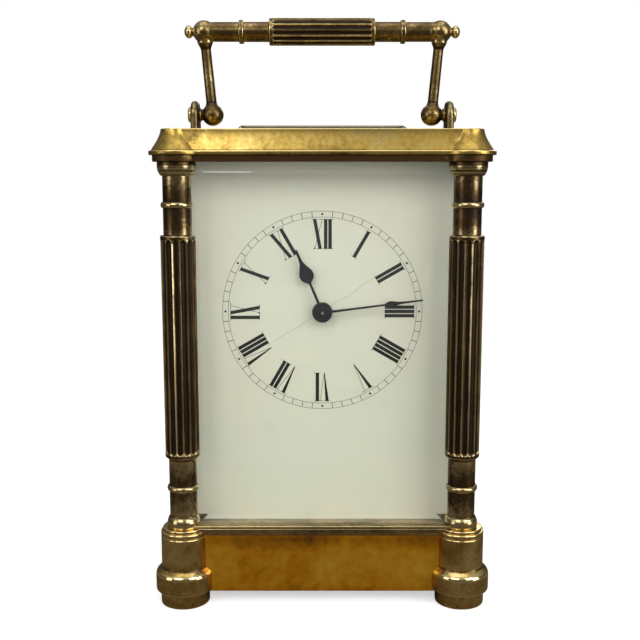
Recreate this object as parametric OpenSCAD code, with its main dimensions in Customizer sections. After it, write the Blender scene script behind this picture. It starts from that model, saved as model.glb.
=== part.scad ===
/* [Case] */
// Distance between the column axes, side to side
column_span_x = 84; // [84:0.5:88]
// Distance between the column axes, front to back
column_span_y = 72; // [72:0.5:76]
// Height of the feet under the pedestals
foot_h = 4.3; // [3.5:0.1:5]
// Radius of the feet
foot_r = 7.4; // [6.5:0.1:7.6]
// Radius of the ring at the bottom of each pedestal
pedestal_ring_r = 8.8; // [8.4:0.1:9.2]
// Radius of the pedestal drums
pedestal_r = 7.0; // [6.6:0.1:7.4]
// Height of the top of the pedestals
pedestal_top = 23.0; // [22.5:0.1:23.2]
// How far the base panels stand outside the column axes
panel_out = 2.4; // [2:0.1:3]
// Height of the sill, the top face of the base
sill_z = 24.85; // [24.6:0.05:25]
// Height of the cornice's underside
cornice_z = 133.0; // [133:0.1:134]
// Height of the cornice's top face
cornice_top = 142.3; // [142:0.1:143]

/* [Columns] */
// Radius of the fluted middle of a column
fluted_r = 5.15; // [5:0.05:5.3]
// Radius of the plain shafts above and below it
shaft_r = 4.15; // [4:0.05:4.3]
// Number of flutes around a column
flutes = 14; // [12:1:16]
// Height where the fluted middle starts
fluted_z = 45.1; // [44:0.1:48]
// Height where the fluted middle ends
fluted_top = 111.9; // [110:0.1:114]

/* [Glass] */
// Thickness of the front and side glasses
glass_t = 2.5; // [2:0.1:2.8]
// Width of the bevel around each glass
bevel_w = 3.9; // [2:0.1:4.5]
// Half width of the window in the top
top_glass_x = 27.0; // [22:0.5:28]
// Half depth of the window in the top
top_glass_y = 19.0; // [16:0.5:20]

/* [Handle] */
// Height of the handle's pivots
pivot_z = 148.6; // [148:0.1:149]
// Height of the grip above the pivots
handle_rise = 25.9; // [25:0.1:27]
// Radius of the fluted grip
grip_r = 4.25; // [4:0.05:4.3]
// Half length of the fluted grip
grip_x = 16.8; // [15:0.1:18]

/* [Dial and hands] */
// Height of the hands' arbor
dial_z = 88.6; // [88:0.1:89]
// Length of the minute hand from its arbor
minute_len = 30.4; // [28:0.1:30.8]
// Length of the hour hand from its arbor
hour_len = 20.3; // [18:0.1:22]
// Angle of the minute hand, clockwise from twelve
minute_angle = 82.8; // [0:0.1:359]
// Angle of the hour hand, clockwise from twelve
hour_angle = 337; // [0:0.1:359]

/* [Hidden] */
$fn = 48;
fit = 0.05;
eps = 0.5;
cx = column_span_x / 2;
cy = column_span_y / 2;
// Base and columns
foot_gap = -0.5;
panel_top = 21.8;
step_z = 22.6;
step_out = [3.0, 3.7];
ring_z = [foot_h, 10.2, 21.3];
slope_top = 11.6;
screw_head = [0.8, 3.0];
screw_head_r = 3.6;
upper_bead_z = 120.7;
capital_z = 129.0;
glass_edge = 1.2;
panel_t = 2.5;
plate_z = sill_z - 3.35;
ear_top = pedestal_top + 1;
ear_r = 6.4;
column_foot_r = 5.0;
bead_r = shaft_r + 0.65;
capital_r = 5.6;
flute_r = 0.85;
rim_h = 1.3;
stud_r = 2.0;
stud_top = 34;
tenon_r = 2.5;
tenon_top = cornice_z + 5;
// Glasses stand on the column axes, in grooves
glass_in = 3.8;
groove_d = 0.8;
// Cornice outline, as distances outside the column axes
lip_z = cornice_z + 1.9;
lip_top = cornice_z + 3.0;
cornice_out = [4.6, 5.25, 3.5];
corner_r = [6.9, 7.9, 4.3];
glass_mid = (sill_z + cornice_z) / 2;
glass_half = (cornice_z - sill_z) / 2 + groove_d - fit;
ceiling_z = cornice_top - 3.8;
ledge_w = 1.0;
ledge_z = cornice_top - 2.0;
top_glass_h = 4.0;
top_bevel_w = 2.0;
cavity_x = 39.5;
cavity_y = 31.0;
// Handle
finial_pin_r = 1.2;
finial_seat = 40.8;
pivot_end = 33.2;
lug_tenon_r = 1.0;
lug_tenon_z = cornice_top - 3.5;
ball_x = 35.3;
ball_r = 3.5;
arm_r = 1.65;
knuckle_x = 37.6;
knuckle_r = 3.6;
grip_z = pivot_z + handle_rise;
bar_r = 3.1;
bar_end = 34.4;
lug_x = [39.6, 42.1];
lug_r = 4.4;
pivot_r = 1.5;
finial_x = 43.9;
// Rear door, hinged at the left as seen from the front
hinge_x = -34;
hinge_y = cy;
door_x = [-35.6, 35.8];
door_z = [sill_z + 0.45, cornice_z - 0.4];
door_t = 3.0;
door_rim = 5.7;
door_pin_r = 1.0;
knob_x = 32.8;
knob_z = 79;
// Dial and motion work, as depths along Y
dial_y = [-28, -26.5];
dial_x = 39.2;
dial_top = cornice_z + 1.5;
dial_foot = [44, 118];
dial_foot_x = 27;
dial_foot_r = 0.9;
minute_stud_r = 0.9;
motion_y = [-22.7, -21.4];
hour_wheel_y = [-24.9, -23.5];
hour_hand_y = [-30.2, -29.6];
minute_hand_y = [-31.4, -30.8];
arbor_r = 0.8;
cannon_r = 1.2;
hour_pipe_r = 2.0;
// Movement plates
front_plate = [-21, -19];
back_plate = [17, 19];
plate_x = 31;
end_shake = 0.1;
plate_top = 121;
pillar_x = 26;
pillar_zs = [31, 114];
pillar_r = 2.6;
pillar_screw_r = 1.2;
movement_screw_r = 1.3;
movement_feet = [for (side = [-1, 1], y = [-12, 10]) [side * pillar_x, y]];
pivot_pin = 0.6;
// Wheel centres as [x, z]; each lies at its meshing distance from the one before
centre = [0, dial_z];
mid_module = 0.4;
barrel_module = 0.5;
centre_module = 0.35;
third_module = 0.3;
barrel_teeth = 80;
mid_teeth = 72;
mid_leaves = 10;
centre_leaves = 12;
centre_teeth = 80;
third_leaves = 10;
third_teeth = 75;
contrate_leaves = 10;
contrate_teeth = 56;
escape_leaves = 7;
escape_teeth = 15;
mid = reach(centre, -55.57, (mid_teeth + centre_leaves) * mid_module / 2);
barrel_c = reach(mid, -126.87, (barrel_teeth + mid_leaves) * barrel_module / 2);
third = reach(centre, 128.3, (centre_teeth + third_leaves) * centre_module / 2);
contrate_gap = (third_teeth + contrate_leaves) * third_module / 2;
contrate = [0, third[1] + sqrt(pow(contrate_gap, 2) - pow(third[0], 2))];
minute_teeth = 36;
cannon_leaves = 12;
minute_leaves = 10;
hour_teeth = 40;
motion_module = 0.4;
motion_gap = (minute_teeth + cannon_leaves) * motion_module / 2;
hour_module = 2 * motion_gap / (hour_teeth + minute_leaves);
minute_c = reach(centre, 45, motion_gap);
// Depths of the train, along Y
barrel_y = [-13, 5.5, 7.5];
mid_wheel_y = [11, 12.5];
mid_pinion_y = [4.9, 8.2];
centre_pinion_y = [10, 13.5];
centre_wheel_y = [-17, -15.5];
third_wheel_y = [-9, -7.8];
contrate_y = [0.7, 2.0];
hub_r = 1.9;
centre_r = 1.25;
// Barrel and winding work
barrel_r = 18;
barrel_wall = 1.0;
barrel_arbor_r = 2.0;
core_r = 4.5;
ratchet_y = [19.6, 21.1];
ratchet_r = 8.0;
ratchet_teeth = 24;
click_pin_r = 0.9;
spring_foot = [20, 61];
winding_square = 3.2;
set_square = 1.7;
click_c = [8.5, 64];
click_nose = [-2.6, 65.25];
square_end = 25;
// Crown mesh between the contrate wheel and the vertical escape pinion
crown_module = 0.375;
crown_r = contrate_teeth * crown_module / 2;
crown_pitch_y = contrate_y[1] + 0.5;
escape_r = escape_leaves * crown_module / 2;
escape_y = crown_pitch_y + escape_r;
// Platform
platform_z = [plate_top, plate_top + 1.6];
platform_x = 17;
pallet_y = -2.4;
balance_y = -9.5;
escape_wheel_z = [123.8, 124.4];
escape_wheel_r = 4.0;
lever_z = [123.8, 124.6];
cock_z = [125.9, 126.7];
balance_z = [127.3, 128.3];
balance_r = 7.2;
spring_z = 129.3;
balance_cock_z = [130.4, 131.6];
index_z = [131.65, 132.25];
index_seat_r = 1.6;
escape_pin = 0.3;
platform_hole_r = 0.75;
potence_z = plate_top - 4.6;
lever_reach = 5.6;
pallet_x = 2.6;
pallet_tip = 0.6;
cock_foot_x = 8;
cock_w = 3.0;
roller_z = 125.1;
pin_at = -1.15;
platform_feet = [for (sx = [-1, 1], y = [front_plate[0] + 1, back_plate[1] - 1]) [sx * 14, y]];
cock_feet = [[-cock_foot_x, pallet_y + 0.2, cock_z[1]], [cock_foot_x, pallet_y + 0.2, cock_z[1]],
    [0, front_plate[0] + 1.7, balance_cock_z[1]]];
// Tooth shapes, as [distance outside the pitch circle in modules, half width in pitches]
wheel_tooth = [[-1.25, 0.235], [0, 0.22], [0.55, 0.15], [0.95, 0.05]];
leaf_tooth = [[-1.3, 0.16], [0, 0.17], [0.35, 0.145], [0.6, 0.08]];
crown_tooth = [[-0.7, 0.23], [0, 0.17], [0.4, 0.07]];

// The point at a distance and bearing from another, in a plane
function reach(from, bearing, distance) = from + distance * [cos(bearing), sin(bearing)];
function bearing(a, b) = atan2(b[1] - a[1], b[0] - a[0]);

// The phase that puts a wheel in mesh with the one that drives it
function mesh_phase(a, b, teeth_a, phase_a, teeth_b) =
    let (line = bearing(a, b), part = (line - phase_a) * teeth_a / 360)
    line + 180 - (0.5 - part) * 360 / teeth_b;

// Outline of a toothed wheel
function gear_points(teeth, module_mm, tooth, phase) =
    let (pitch = 360 / teeth, pitch_r = teeth * module_mm / 2, last = len(tooth) - 1)
    [for (i = [0 : teeth - 1], k = [0 : 2 * last + 1])
        let (up = k <= last, p = tooth[up ? k : 2 * last + 1 - k], side = up ? -1 : 1)
        reach([0, 0], phase + (i + side * p[1]) * pitch, pitch_r + p[0] * module_mm)];

function bead(z, r, proud, half) = [for (a = [-90 : 30 : 90]) [r + proud * cos(a), z + half * sin(a)]];

module cyl_z(x, y, z0, z1, r) translate([x, y, z0]) cylinder(h = z1 - z0, r = r);
module block(low, high) translate(low) cube(high - low);
// A turned piece about X, from a profile of [radius, x]
module turned_x(points) rotate([0, 90, 0]) rotate_extrude() polygon(points);
// A flat shape drawn in [x, z], spread from one depth to another
module at_depth(y, place = [0, 0])
    translate([place[0], y[1], place[1]]) rotate([90, 0, 0]) linear_extrude(y[1] - y[0]) children();
module rod_y(place, y, r) at_depth(y, place) circle(r);
module ring_y(place, y, r, bore) at_depth(y, place) difference() {
    circle(r);
    circle(bore);
}
module flip(side) mirror([side < 0 ? 1 : 0, 0, 0]) children();
module corners() for (sx = [-1, 1], sy = [-1, 1]) translate([sx * cx, sy * cy, 0]) children();

// Arms of a wheel, left between its rim and its hub
module crossings(rim, hub, arms, width)
    difference() {
        circle(rim);
        circle(hub);
        for (i = [0 : arms - 1]) rotate(i * 360 / arms + 20)
            translate([0, -width / 2]) square([rim + 1, width]);
    }
module spoked_gear(teeth, module_mm, phase, rim, hub, bore, arms = 5)
    difference() {
        polygon(gear_points(teeth, module_mm, wheel_tooth, phase));
        crossings(rim, hub, arms, 1.2);
        circle(bore);
    }
module pinion(leaves, module_mm, phase, bore)
    difference() {
        polygon(gear_points(leaves, module_mm, leaf_tooth, phase));
        circle(bore);
    }

// ---- Case ----

module glass_groove(low_z, high_z) {
    wide_x = cx - glass_in + fit;
    wide_y = cy - glass_in + fit;
    half = glass_t / 2 + fit;
    block([-wide_x, -cy - half, low_z], [wide_x, -cy + half, high_z]);
    for (side = [-1, 1]) translate([side * cx, 0, 0]) block([-half, -wide_y, low_z], [half, wide_y, high_z]);
}

// A block with its four corners left out, so that the columns stand in them
module cross_block(out, z0, z1) {
    block([-cx, -cy - out, z0], [cx, cy + out, z1]);
    block([-cx - out, -cy, z0], [cx + out, cy, z1]);
}

module base_plinth() color("#a8742a") difference() {
    union() {
        cross_block(panel_out, foot_h + foot_gap, panel_top + eps);
        cross_block(step_out[0], panel_top, step_z + eps);
        cross_block(step_out[1], step_z, sill_z);
        corners() cyl_z(0, 0, pedestal_top, ear_top, ear_r);
    }
    block([-cx - panel_out + panel_t, -cy - panel_out + panel_t, 0],
        [cx + panel_out - panel_t, cy + panel_out - panel_t, plate_z]);
    corners() {
        rotate_extrude() polygon([[0, 0], [pedestal_ring_r + fit, 0],
            [pedestal_ring_r + fit, ring_z[1] + fit], [pedestal_r + fit, slope_top + fit],
            [pedestal_r + fit, pedestal_top], [0, pedestal_top]]);
        cyl_z(0, 0, ear_top, sill_z + eps, column_foot_r + fit);
        cyl_z(0, 0, pedestal_top - eps, sill_z, stud_r + 2 * fit);
    }
    glass_groove(sill_z - groove_d, sill_z + eps);
    cyl_z(hinge_x, hinge_y, plate_z + 1, sill_z + eps, door_pin_r + fit);
    for (place = movement_feet)
        cyl_z(place[0], place[1], plate_z - eps, sill_z + eps, movement_screw_r + fit);
}

// A turned foot, ring and drum under each column
module pedestal() color("#b98a3c") difference() {
    rotate_extrude() polygon([[0, 0], [foot_r - 0.4, 0], [foot_r, 0.4], [foot_r, foot_h],
        [pedestal_ring_r - 0.5, foot_h], [pedestal_ring_r, foot_h + 0.5], [pedestal_ring_r, ring_z[1] - 0.6],
        [pedestal_ring_r - 0.5, ring_z[1]], [pedestal_r, slope_top], [pedestal_r, ring_z[2]],
        [pedestal_r - 0.25, ring_z[2] + 0.2], [pedestal_r, ring_z[2] + 0.4],
        [pedestal_r, pedestal_top - 0.4], [pedestal_r - 0.4, pedestal_top], [0, pedestal_top]]);
    cyl_z(0, 0, -eps, screw_head[1], screw_head_r + fit);
    cyl_z(0, 0, 0, pedestal_top + eps, stud_r + fit);
}

module column_screws() color("#6f6a60") corners() {
    cyl_z(0, 0, screw_head[0], screw_head[1], screw_head_r);
    cyl_z(0, 0, screw_head[1] - eps, stud_top, stud_r);
}

// A turned column; its grooves hold the edges of the glasses on its inner sides
module column(sx, sy) color("#5e4526") translate([sx * cx, sy * cy, 0]) difference() {
    union() {
        rotate_extrude() polygon(concat([[0, ear_top], [column_foot_r, ear_top],
            [column_foot_r, ear_top + 1.7], [column_foot_r - 0.25, ear_top + 2.6],
            [shaft_r + 0.1, ear_top + 3.4], [shaft_r, ear_top + 3.7]],
            bead((ear_top + fluted_z) / 2 + 1.6, shaft_r, bead_r - shaft_r, 0.9),
            [[shaft_r, fluted_z - 0.4], [fluted_r, fluted_z + 0.6],
            [fluted_r, fluted_top], [shaft_r, fluted_top]],
            bead(upper_bead_z, shaft_r, bead_r - shaft_r, 0.9),
            [[shaft_r, capital_z], [shaft_r + 0.5, capital_z], [shaft_r + 1.05, capital_z + 0.9],
            [capital_r - 0.1, capital_z + 1.9], [capital_r, capital_z + 2.6], [capital_r, cornice_z], [0, cornice_z]]));
        cyl_z(0, 0, cornice_z - eps, tenon_top, tenon_r);
    }
    for (i = [0 : flutes - 1]) rotate((i + 0.5) * 360 / flutes)
        cyl_z(fluted_r + 0.25, 0, fluted_z + rim_h + 0.6, fluted_top - rim_h, flute_r);
    cyl_z(0, 0, ear_top - eps, stud_top + 1, stud_r + fit);
    for (front = [false, true]) if (front == false || sy < 0) groove_for(front, sx, sy);
}

// One glass groove down a column, for the side glass or for the front glass
module groove_for(front, sx, sy) {
    half = glass_t / 2 + fit;
    reach_in = glass_in - fit;
    mirror([front && sx < 0 ? 1 : 0, !front && sy < 0 ? 1 : 0, 0])
        block(front ? [-9, -half, ear_top - 1] : [-half, -9, ear_top - 1],
            front ? [-reach_in, half, cornice_z + 1] : [half, -reach_in, cornice_z + 1]);
}

// Cornice outline at one edge, as [distance outside the axis, height]: a lip, then a shallow hollow
function cornice_edge(out) = concat([[0, cornice_z], [out[0], cornice_z], [out[0], lip_z], [out[1], lip_z],
    [out[1], lip_top - 0.4], [out[1] - 0.15, lip_top], [out[1] - 0.5, lip_top + 0.2]],
    [for (t = [0.15 : 0.15 : 1]) [out[2] + (out[1] - 0.5 - out[2]) * pow(1 - t, 1.4),
        lip_top + 0.2 + t * (cornice_top - 0.6 - lip_top)]],
    [[out[2], cornice_top - 0.3], [out[2] - 0.3, cornice_top], [0, cornice_top]]);

module cornice_frame() color("#b8892f") difference() {
    union() {
        corners() rotate_extrude() polygon(cornice_edge(corner_r));
        for (side = [-1, 1]) {
            mirror([0, side < 0 ? 1 : 0, 0]) translate([-cx, cy, 0]) rotate([90, 0, 90])
                linear_extrude(2 * cx) polygon(cornice_edge(cornice_out));
            flip(side) translate([cx, cy, 0]) rotate([90, 0, 0])
                linear_extrude(2 * cy) polygon(cornice_edge(cornice_out));
        }
        block([-cx, -cy, cornice_z], [cx, cy, cornice_top]);
    }
    block([-cavity_x, -cavity_y, cornice_z - eps], [cavity_x, cavity_y, ceiling_z]);
    block([-top_glass_x + ledge_w, -top_glass_y + ledge_w, ceiling_z - eps],
        [top_glass_x - ledge_w, top_glass_y - ledge_w, cornice_top + eps]);
    block([-top_glass_x, -top_glass_y, ledge_z], [top_glass_x, top_glass_y, cornice_top + eps]);
    corners() cyl_z(0, 0, cornice_z - eps, tenon_top + fit, tenon_r + fit);
    glass_groove(cornice_z - eps, cornice_z + groove_d + fit);
    cyl_z(hinge_x, hinge_y, cornice_z - eps, cornice_z + 2.2, door_pin_r + fit);
    for (side = [-1, 1])
        cyl_z(side * (lug_x[0] + lug_x[1]) / 2, 0, lug_tenon_z - fit, cornice_top + eps, lug_tenon_r);
}

// A flat glass with its bevel facing +Z, drawn about its own middle
module bevelled(half_w, half_h, thick, edge, bevel = bevel_w) intersection() {
    translate([0, half_h, 0]) rotate([90, 0, 0])
        linear_extrude(2 * half_h) bevel_section(half_w, thick, edge, bevel);
    translate([-half_w, 0, 0]) rotate([90, 0, 90])
        linear_extrude(2 * half_w) bevel_section(half_h, thick, edge, bevel);
}
module bevel_section(half, thick, edge, bevel) polygon([[-half, 0], [half, 0], [half, edge],
    [half - bevel, thick], [bevel - half, thick], [-half, edge]]);

module front_glass() color("#dfe8e6") translate([0, -cy + glass_t / 2, glass_mid]) rotate([90, 0, 0])
    bevelled(cx - glass_in, glass_half, glass_t, glass_edge);
module side_glass(side) color("#dfe8e6") translate([side * (cx - glass_t / 2), 0, glass_mid])
    rotate([90, 0, side * 90]) bevelled(cy - glass_in, glass_half, glass_t, glass_edge);
module top_glass() color("#dfe8e6") translate([0, 0, ledge_z])
    bevelled(top_glass_x - fit, top_glass_y - fit, top_glass_h, cornice_top - ledge_z, top_bevel_w);

// ---- Handle ----

module handle_lug(side) color("#8a6a34") flip(side) difference() {
    union() {
        turned_lug = lug_x[1] - lug_x[0];
        translate([lug_x[0], 0, pivot_z]) rotate([0, 90, 0]) cylinder(h = turned_lug, r = lug_r);
        block([lug_x[0], -lug_r, cornice_top], [lug_x[1], lug_r, pivot_z]);
        block([lug_x[0] - 1, -lug_r - 1.6, cornice_top], [lug_x[1] + 1, lug_r + 1.6, cornice_top + 1]);
        cyl_z((lug_x[0] + lug_x[1]) / 2, 0, lug_tenon_z, cornice_top + eps, lug_tenon_r - fit);
    }
    translate([lug_x[0] - eps, 0, pivot_z]) rotate([0, 90, 0]) cylinder(h = 4, r = pivot_r + fit);
}

module handle_pivot_screws() color("#9a7b3e") for (side = [-1, 1]) flip(side)
    translate([0, 0, pivot_z]) difference() {
        turned_x([[0, pivot_end], [pivot_r, pivot_end], [pivot_r, lug_x[1]], [2.5, lug_x[1]],
            [2.5, lug_x[1] + 0.5], [2.1, lug_x[1] + 1.0], [0, lug_x[1] + 1.2]]);
        block([lug_x[1] + 0.6, -0.3, -3], [lug_x[1] + 2, 0.3, 3]);
    }

// One arm: the ball on the pivot, the round stem and the knuckle that carries the bar
module handle_arm(side) color("#7a5c30") flip(side) difference() {
    lean = atan2(knuckle_x - ball_x, handle_rise);
    union() {
        translate([ball_x, 0, pivot_z]) sphere(ball_r);
        translate([0, 0, pivot_z]) turned_x([[0, ball_x], [2.3, ball_x], [1.9, lug_x[0] - 0.7],
            [2.2, lug_x[0] - 0.5], [2.2, lug_x[0] - 0.2], [0, lug_x[0] - 0.2]]);
        translate([ball_x, 0, pivot_z]) rotate([0, lean, 0]) rotate_extrude() polygon([[0, 0], [2.2, 0],
            [2.2, ball_r - 0.7], [arm_r, ball_r + 0.4], [arm_r, handle_rise - knuckle_r - 1.6],
            [2.6, handle_rise - knuckle_r + 0.4], [2.6, handle_rise - knuckle_r + 1], [0, handle_rise]]);
        translate([knuckle_x, 0, grip_z]) sphere(knuckle_r);
        translate([0, 0, grip_z]) turned_x([[0, bar_end], [bar_r, bar_end], [bar_r, bar_end + 1.6],
            [0, bar_end + 1.6]]);
    }
    block([bar_end - 5, -4, grip_z - 4], [bar_end, 4, grip_z + 4]);
    block([finial_seat, -4, grip_z - 4], [finial_seat + 4, 4, grip_z + 4]);
    translate([0, 0, grip_z])
        turned_x([[0, 30], [finial_pin_r + fit, 30], [finial_pin_r + fit, 43], [0, 43]]);
    translate([0, 0, pivot_z]) turned_x([[0, pivot_end - 0.3], [pivot_r + fit, pivot_end - 0.3],
        [pivot_r + fit, 42], [0, 42]]);
}

module handle_bar() color("#6b5030") translate([0, 0, grip_z]) difference() {
    union() {
        for (side = [-1, 1]) flip(side) turned_x([[0, 0], [bar_r, 0], [bar_r, 24.6], [3.7, 25],
            [3.7, 26.4], [bar_r, 26.8], [bar_r, bar_end], [0, bar_end]]);
        difference() {
            turned_x([[0, -grip_x], [grip_r - 0.4, -grip_x], [grip_r, -grip_x + 0.4],
                [grip_r, grip_x - 0.4], [grip_r - 0.4, grip_x], [0, grip_x]]);
            for (i = [0 : flutes - 1]) rotate([i * 360 / flutes, 0, 0])
                translate([-grip_x + 1.2, 0, grip_r + 0.2])
                rotate([0, 90, 0]) cylinder(h = 2 * grip_x - 2.4, r = 0.7);
        }
    }
    for (side = [-1, 1]) flip(side) turned_x([[0, 29], [finial_pin_r + fit, 29],
        [finial_pin_r + fit, 36], [0, 36]]);
}

module handle_finials() color("#8a6a34") for (side = [-1, 1]) flip(side) translate([0, 0, grip_z])
    turned_x([[0, 29.5], [finial_pin_r, 29.5], [finial_pin_r, finial_seat], [1.6, finial_seat],
        [1.3, finial_seat + 0.6], [2.0, finial_seat + 1.2], [2.1, finial_x - 1], [1.5, finial_x],
        [0, finial_x]]);

// ---- Rear door ----

module door_frame() color("#b8892f") difference() {
    y = [hinge_y - door_t / 2, hinge_y + door_t / 2];
    block([door_x[0], y[0], door_z[0]], [door_x[1], y[1], door_z[1]]);
    block([door_x[0] + door_rim, y[0] - eps, door_z[0] + door_rim],
        [door_x[1] - door_rim, y[1] + eps, door_z[1] - door_rim]);
    block([door_x[0] + door_rim - 1, y[0] - eps, door_z[0] + door_rim - 1],
        [door_x[1] - door_rim + 1, y[0] + 2, door_z[1] - door_rim + 1]);
    cyl_z(hinge_x, hinge_y, door_z[0] - eps, door_z[0] + 4, door_pin_r);
    cyl_z(hinge_x, hinge_y, door_z[1] - 4, door_z[1] + eps, door_pin_r);
    rod_y([knob_x, knob_z], [y[0] + 0.5, y[1] + eps], 1);
}
module door_glass() color("#dfe8e6") {
    edge_in = door_rim - 1 + fit;
    translate([(door_x[0] + door_x[1]) / 2, hinge_y - door_t / 2 + 0.2, (door_z[0] + door_z[1]) / 2])
        rotate([-90, 0, 0])
        bevelled((door_x[1] - door_x[0]) / 2 - edge_in, (door_z[1] - door_z[0]) / 2 - edge_in, 1.8, 0.9);
}
module door_knob() color("#b8892f") translate([knob_x, hinge_y + door_t / 2, knob_z]) rotate([-90, 0, 0])
    rotate_extrude() polygon([[0, -2.2], [0.95, -2.2], [0.95, 0], [2.4, 0], [2.4, 0.7], [1.2, 1.2],
        [1.2, 2.2], [2.6, 3.2], [2.8, 4.2], [2.2, 5.2], [0, 5.5]]);
module door_pins() color("#9a7b3e") {
    cyl_z(hinge_x, hinge_y, sill_z - 1.6, door_z[0] + 4, door_pin_r);
    cyl_z(hinge_x, hinge_y, door_z[1] - 4, cornice_z + 2, door_pin_r);
}

// ---- Dial and hands ----

module dial() color("#e3e3d6") {
    at_depth(dial_y) difference() {
        translate([-dial_x, sill_z]) square([2 * dial_x, dial_top - sill_z]);
        translate(centre) circle(hour_pipe_r + 0.8);
    }
    for (sx = [-1, 1], z = dial_foot)
        rod_y([sx * dial_foot_x, z], [dial_y[1] - 0.4, front_plate[1] - 0.3], dial_foot_r);
}

// A hand's outline, pointing up from its boss: stem, drop and fine tip
module hand_2d(length, boss, drop_at, drop_w, drop_h, stem) {
    circle(boss);
    polygon([[stem, 0], [stem * 0.8, length * 0.8], [0.12, length],
        [-0.12, length], [-stem * 0.8, length * 0.8], [-stem, 0]]);
    polygon([for (a = [340 : -20 : 0]) [drop_w * sin(a) * (1 - 0.35 * cos(a)), drop_at + drop_h * cos(a)]]);
}
module hour_hand() color("#1c1a1c") at_depth(hour_hand_y, centre) difference() {
    rotate(-hour_angle) hand_2d(hour_len, 3.0, hour_len * 0.6, 2.0, 3.4, 0.55);
    circle(hour_pipe_r);
}
module minute_hand() color("#1c1a1c") at_depth(minute_hand_y, centre) difference() {
    rotate(-minute_angle) hand_2d(minute_len, 2.9, minute_len * 0.66, 0.9, 2.2, 0.45);
    circle(cannon_r);
}
module hand_collet() color("#a7a49c")
    ring_y(centre, [minute_hand_y[0] - 0.7, minute_hand_y[0]], 1.6, arbor_r);

// ---- Motion work, between the dial and the front plate ----

cannon_phase = 0;
minute_phase = mesh_phase(centre, minute_c, cannon_leaves, cannon_phase, minute_teeth);
hour_phase = mesh_phase(minute_c, centre, minute_leaves, 0, hour_teeth);

module cannon_pinion() color("#b5b2aa") {
    at_depth(motion_y, centre) pinion(cannon_leaves, motion_module, cannon_phase, arbor_r);
    ring_y(centre, [minute_hand_y[0], motion_y[0]], cannon_r, arbor_r);
}
module minute_wheel() color("#c09a48") {
    at_depth(motion_y, minute_c)
        spoked_gear(minute_teeth, motion_module, minute_phase, 5.9, 2.4, minute_stud_r + fit, 4);
    at_depth([hour_wheel_y[0], motion_y[0]], minute_c)
        pinion(minute_leaves, hour_module, 0, minute_stud_r + fit);
}
module hour_wheel() color("#c09a48") {
    at_depth(hour_wheel_y, centre) difference() {
        polygon(gear_points(hour_teeth, hour_module, wheel_tooth, hour_phase));
        circle(cannon_r + fit);
    }
    ring_y(centre, [hour_hand_y[0], hour_wheel_y[0]], hour_pipe_r, cannon_r + fit);
}
module minute_stud() color("#8f8c86") {
    rod_y(minute_c, [hour_wheel_y[0] - 0.5, front_plate[1] - 0.2], minute_stud_r);
    rod_y(minute_c, [front_plate[0] - 0.3, front_plate[0]], minute_stud_r + 0.6);
}

// ---- Movement plates ----

// Every pivot hole, as [place, radius]
front_holes = [[centre, centre_r], [mid, pivot_pin], [third, pivot_pin], [contrate, pivot_pin],
    [barrel_c, barrel_arbor_r]];
module plate(y, holes) at_depth(y) difference() {
    translate([-plate_x, sill_z]) square([2 * plate_x, plate_top - sill_z]);
    for (hole = holes) translate(hole[0]) circle(hole[1] + fit);
    for (sx = [-1, 1], z = pillar_zs) translate([sx * pillar_x, z]) circle(pillar_screw_r + fit);
    children();
}
module front_plate() color("#c9a24f") plate(front_plate, front_holes) {
    for (sx = [-1, 1], z = dial_foot) translate([sx * dial_foot_x, z]) circle(dial_foot_r + fit);
    translate(minute_c) circle(minute_stud_r);
}
module back_plate() color("#c9a24f") plate(back_plate, front_holes) {
    translate(click_c) circle(click_pin_r);
    translate(spring_foot) circle(click_pin_r);
}
module plate_pillars() color("#b8903f") for (sx = [-1, 1], z = pillar_zs) difference() {
    span = back_plate[0] - front_plate[1];
    translate([sx * pillar_x, front_plate[1], z]) rotate([-90, 0, 0]) rotate_extrude() polygon([[0, 0],
        [pillar_r + 0.6, 0], [pillar_r + 0.6, 1], [pillar_r, 1.8], [pillar_r, span - 1.8],
        [pillar_r + 0.6, span - 1], [pillar_r + 0.6, span], [0, span]]);
    for (end = [front_plate[1], back_plate[0]])
        rod_y([sx * pillar_x, z], [end - 5.2, end + 5.2], pillar_screw_r + fit);
    for (place = movement_feet) cyl_z(place[0], place[1], 20, pillar_zs[0], movement_screw_r + fit);
}
module pillar_screws() color("#5b6a86") for (sx = [-1, 1], z = pillar_zs, back = [0, 1]) {
    y = back ? back_plate[1] : front_plate[0];
    out = back ? 1 : -1;
    difference() {
        union() {
            rod_y([sx * pillar_x, z], span_of(y - out * 7, y), pillar_screw_r);
            rod_y([sx * pillar_x, z], span_of(y, y + out * 1.2), 2.3);
        }
        block([sx * pillar_x - 3, y + (back ? 0.7 : -2), z - 0.25],
            [sx * pillar_x + 3, y + (back ? 2 : -0.7), z + 0.25]);
    }
}
module movement_screws() color("#6f6a60") for (place = movement_feet) {
    cyl_z(place[0], place[1], plate_z - 1.4, plate_z, 2.6);
    cyl_z(place[0], place[1], plate_z - eps, pillar_zs[0] - 0.3, movement_screw_r);
}

// ---- Going barrel and winding work ----

barrel_phase = 0;
mid_pinion_phase = mesh_phase(barrel_c, mid, barrel_teeth, barrel_phase, mid_leaves);
mid_phase = 0;
centre_pinion_phase = mesh_phase(mid, centre, mid_teeth, mid_phase, centre_leaves);
centre_phase = 0;
third_pinion_phase = mesh_phase(centre, third, centre_teeth, centre_phase, third_leaves);
third_phase = 0;
contrate_pinion_phase = mesh_phase(third, contrate, third_teeth, third_phase, contrate_leaves);

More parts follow.
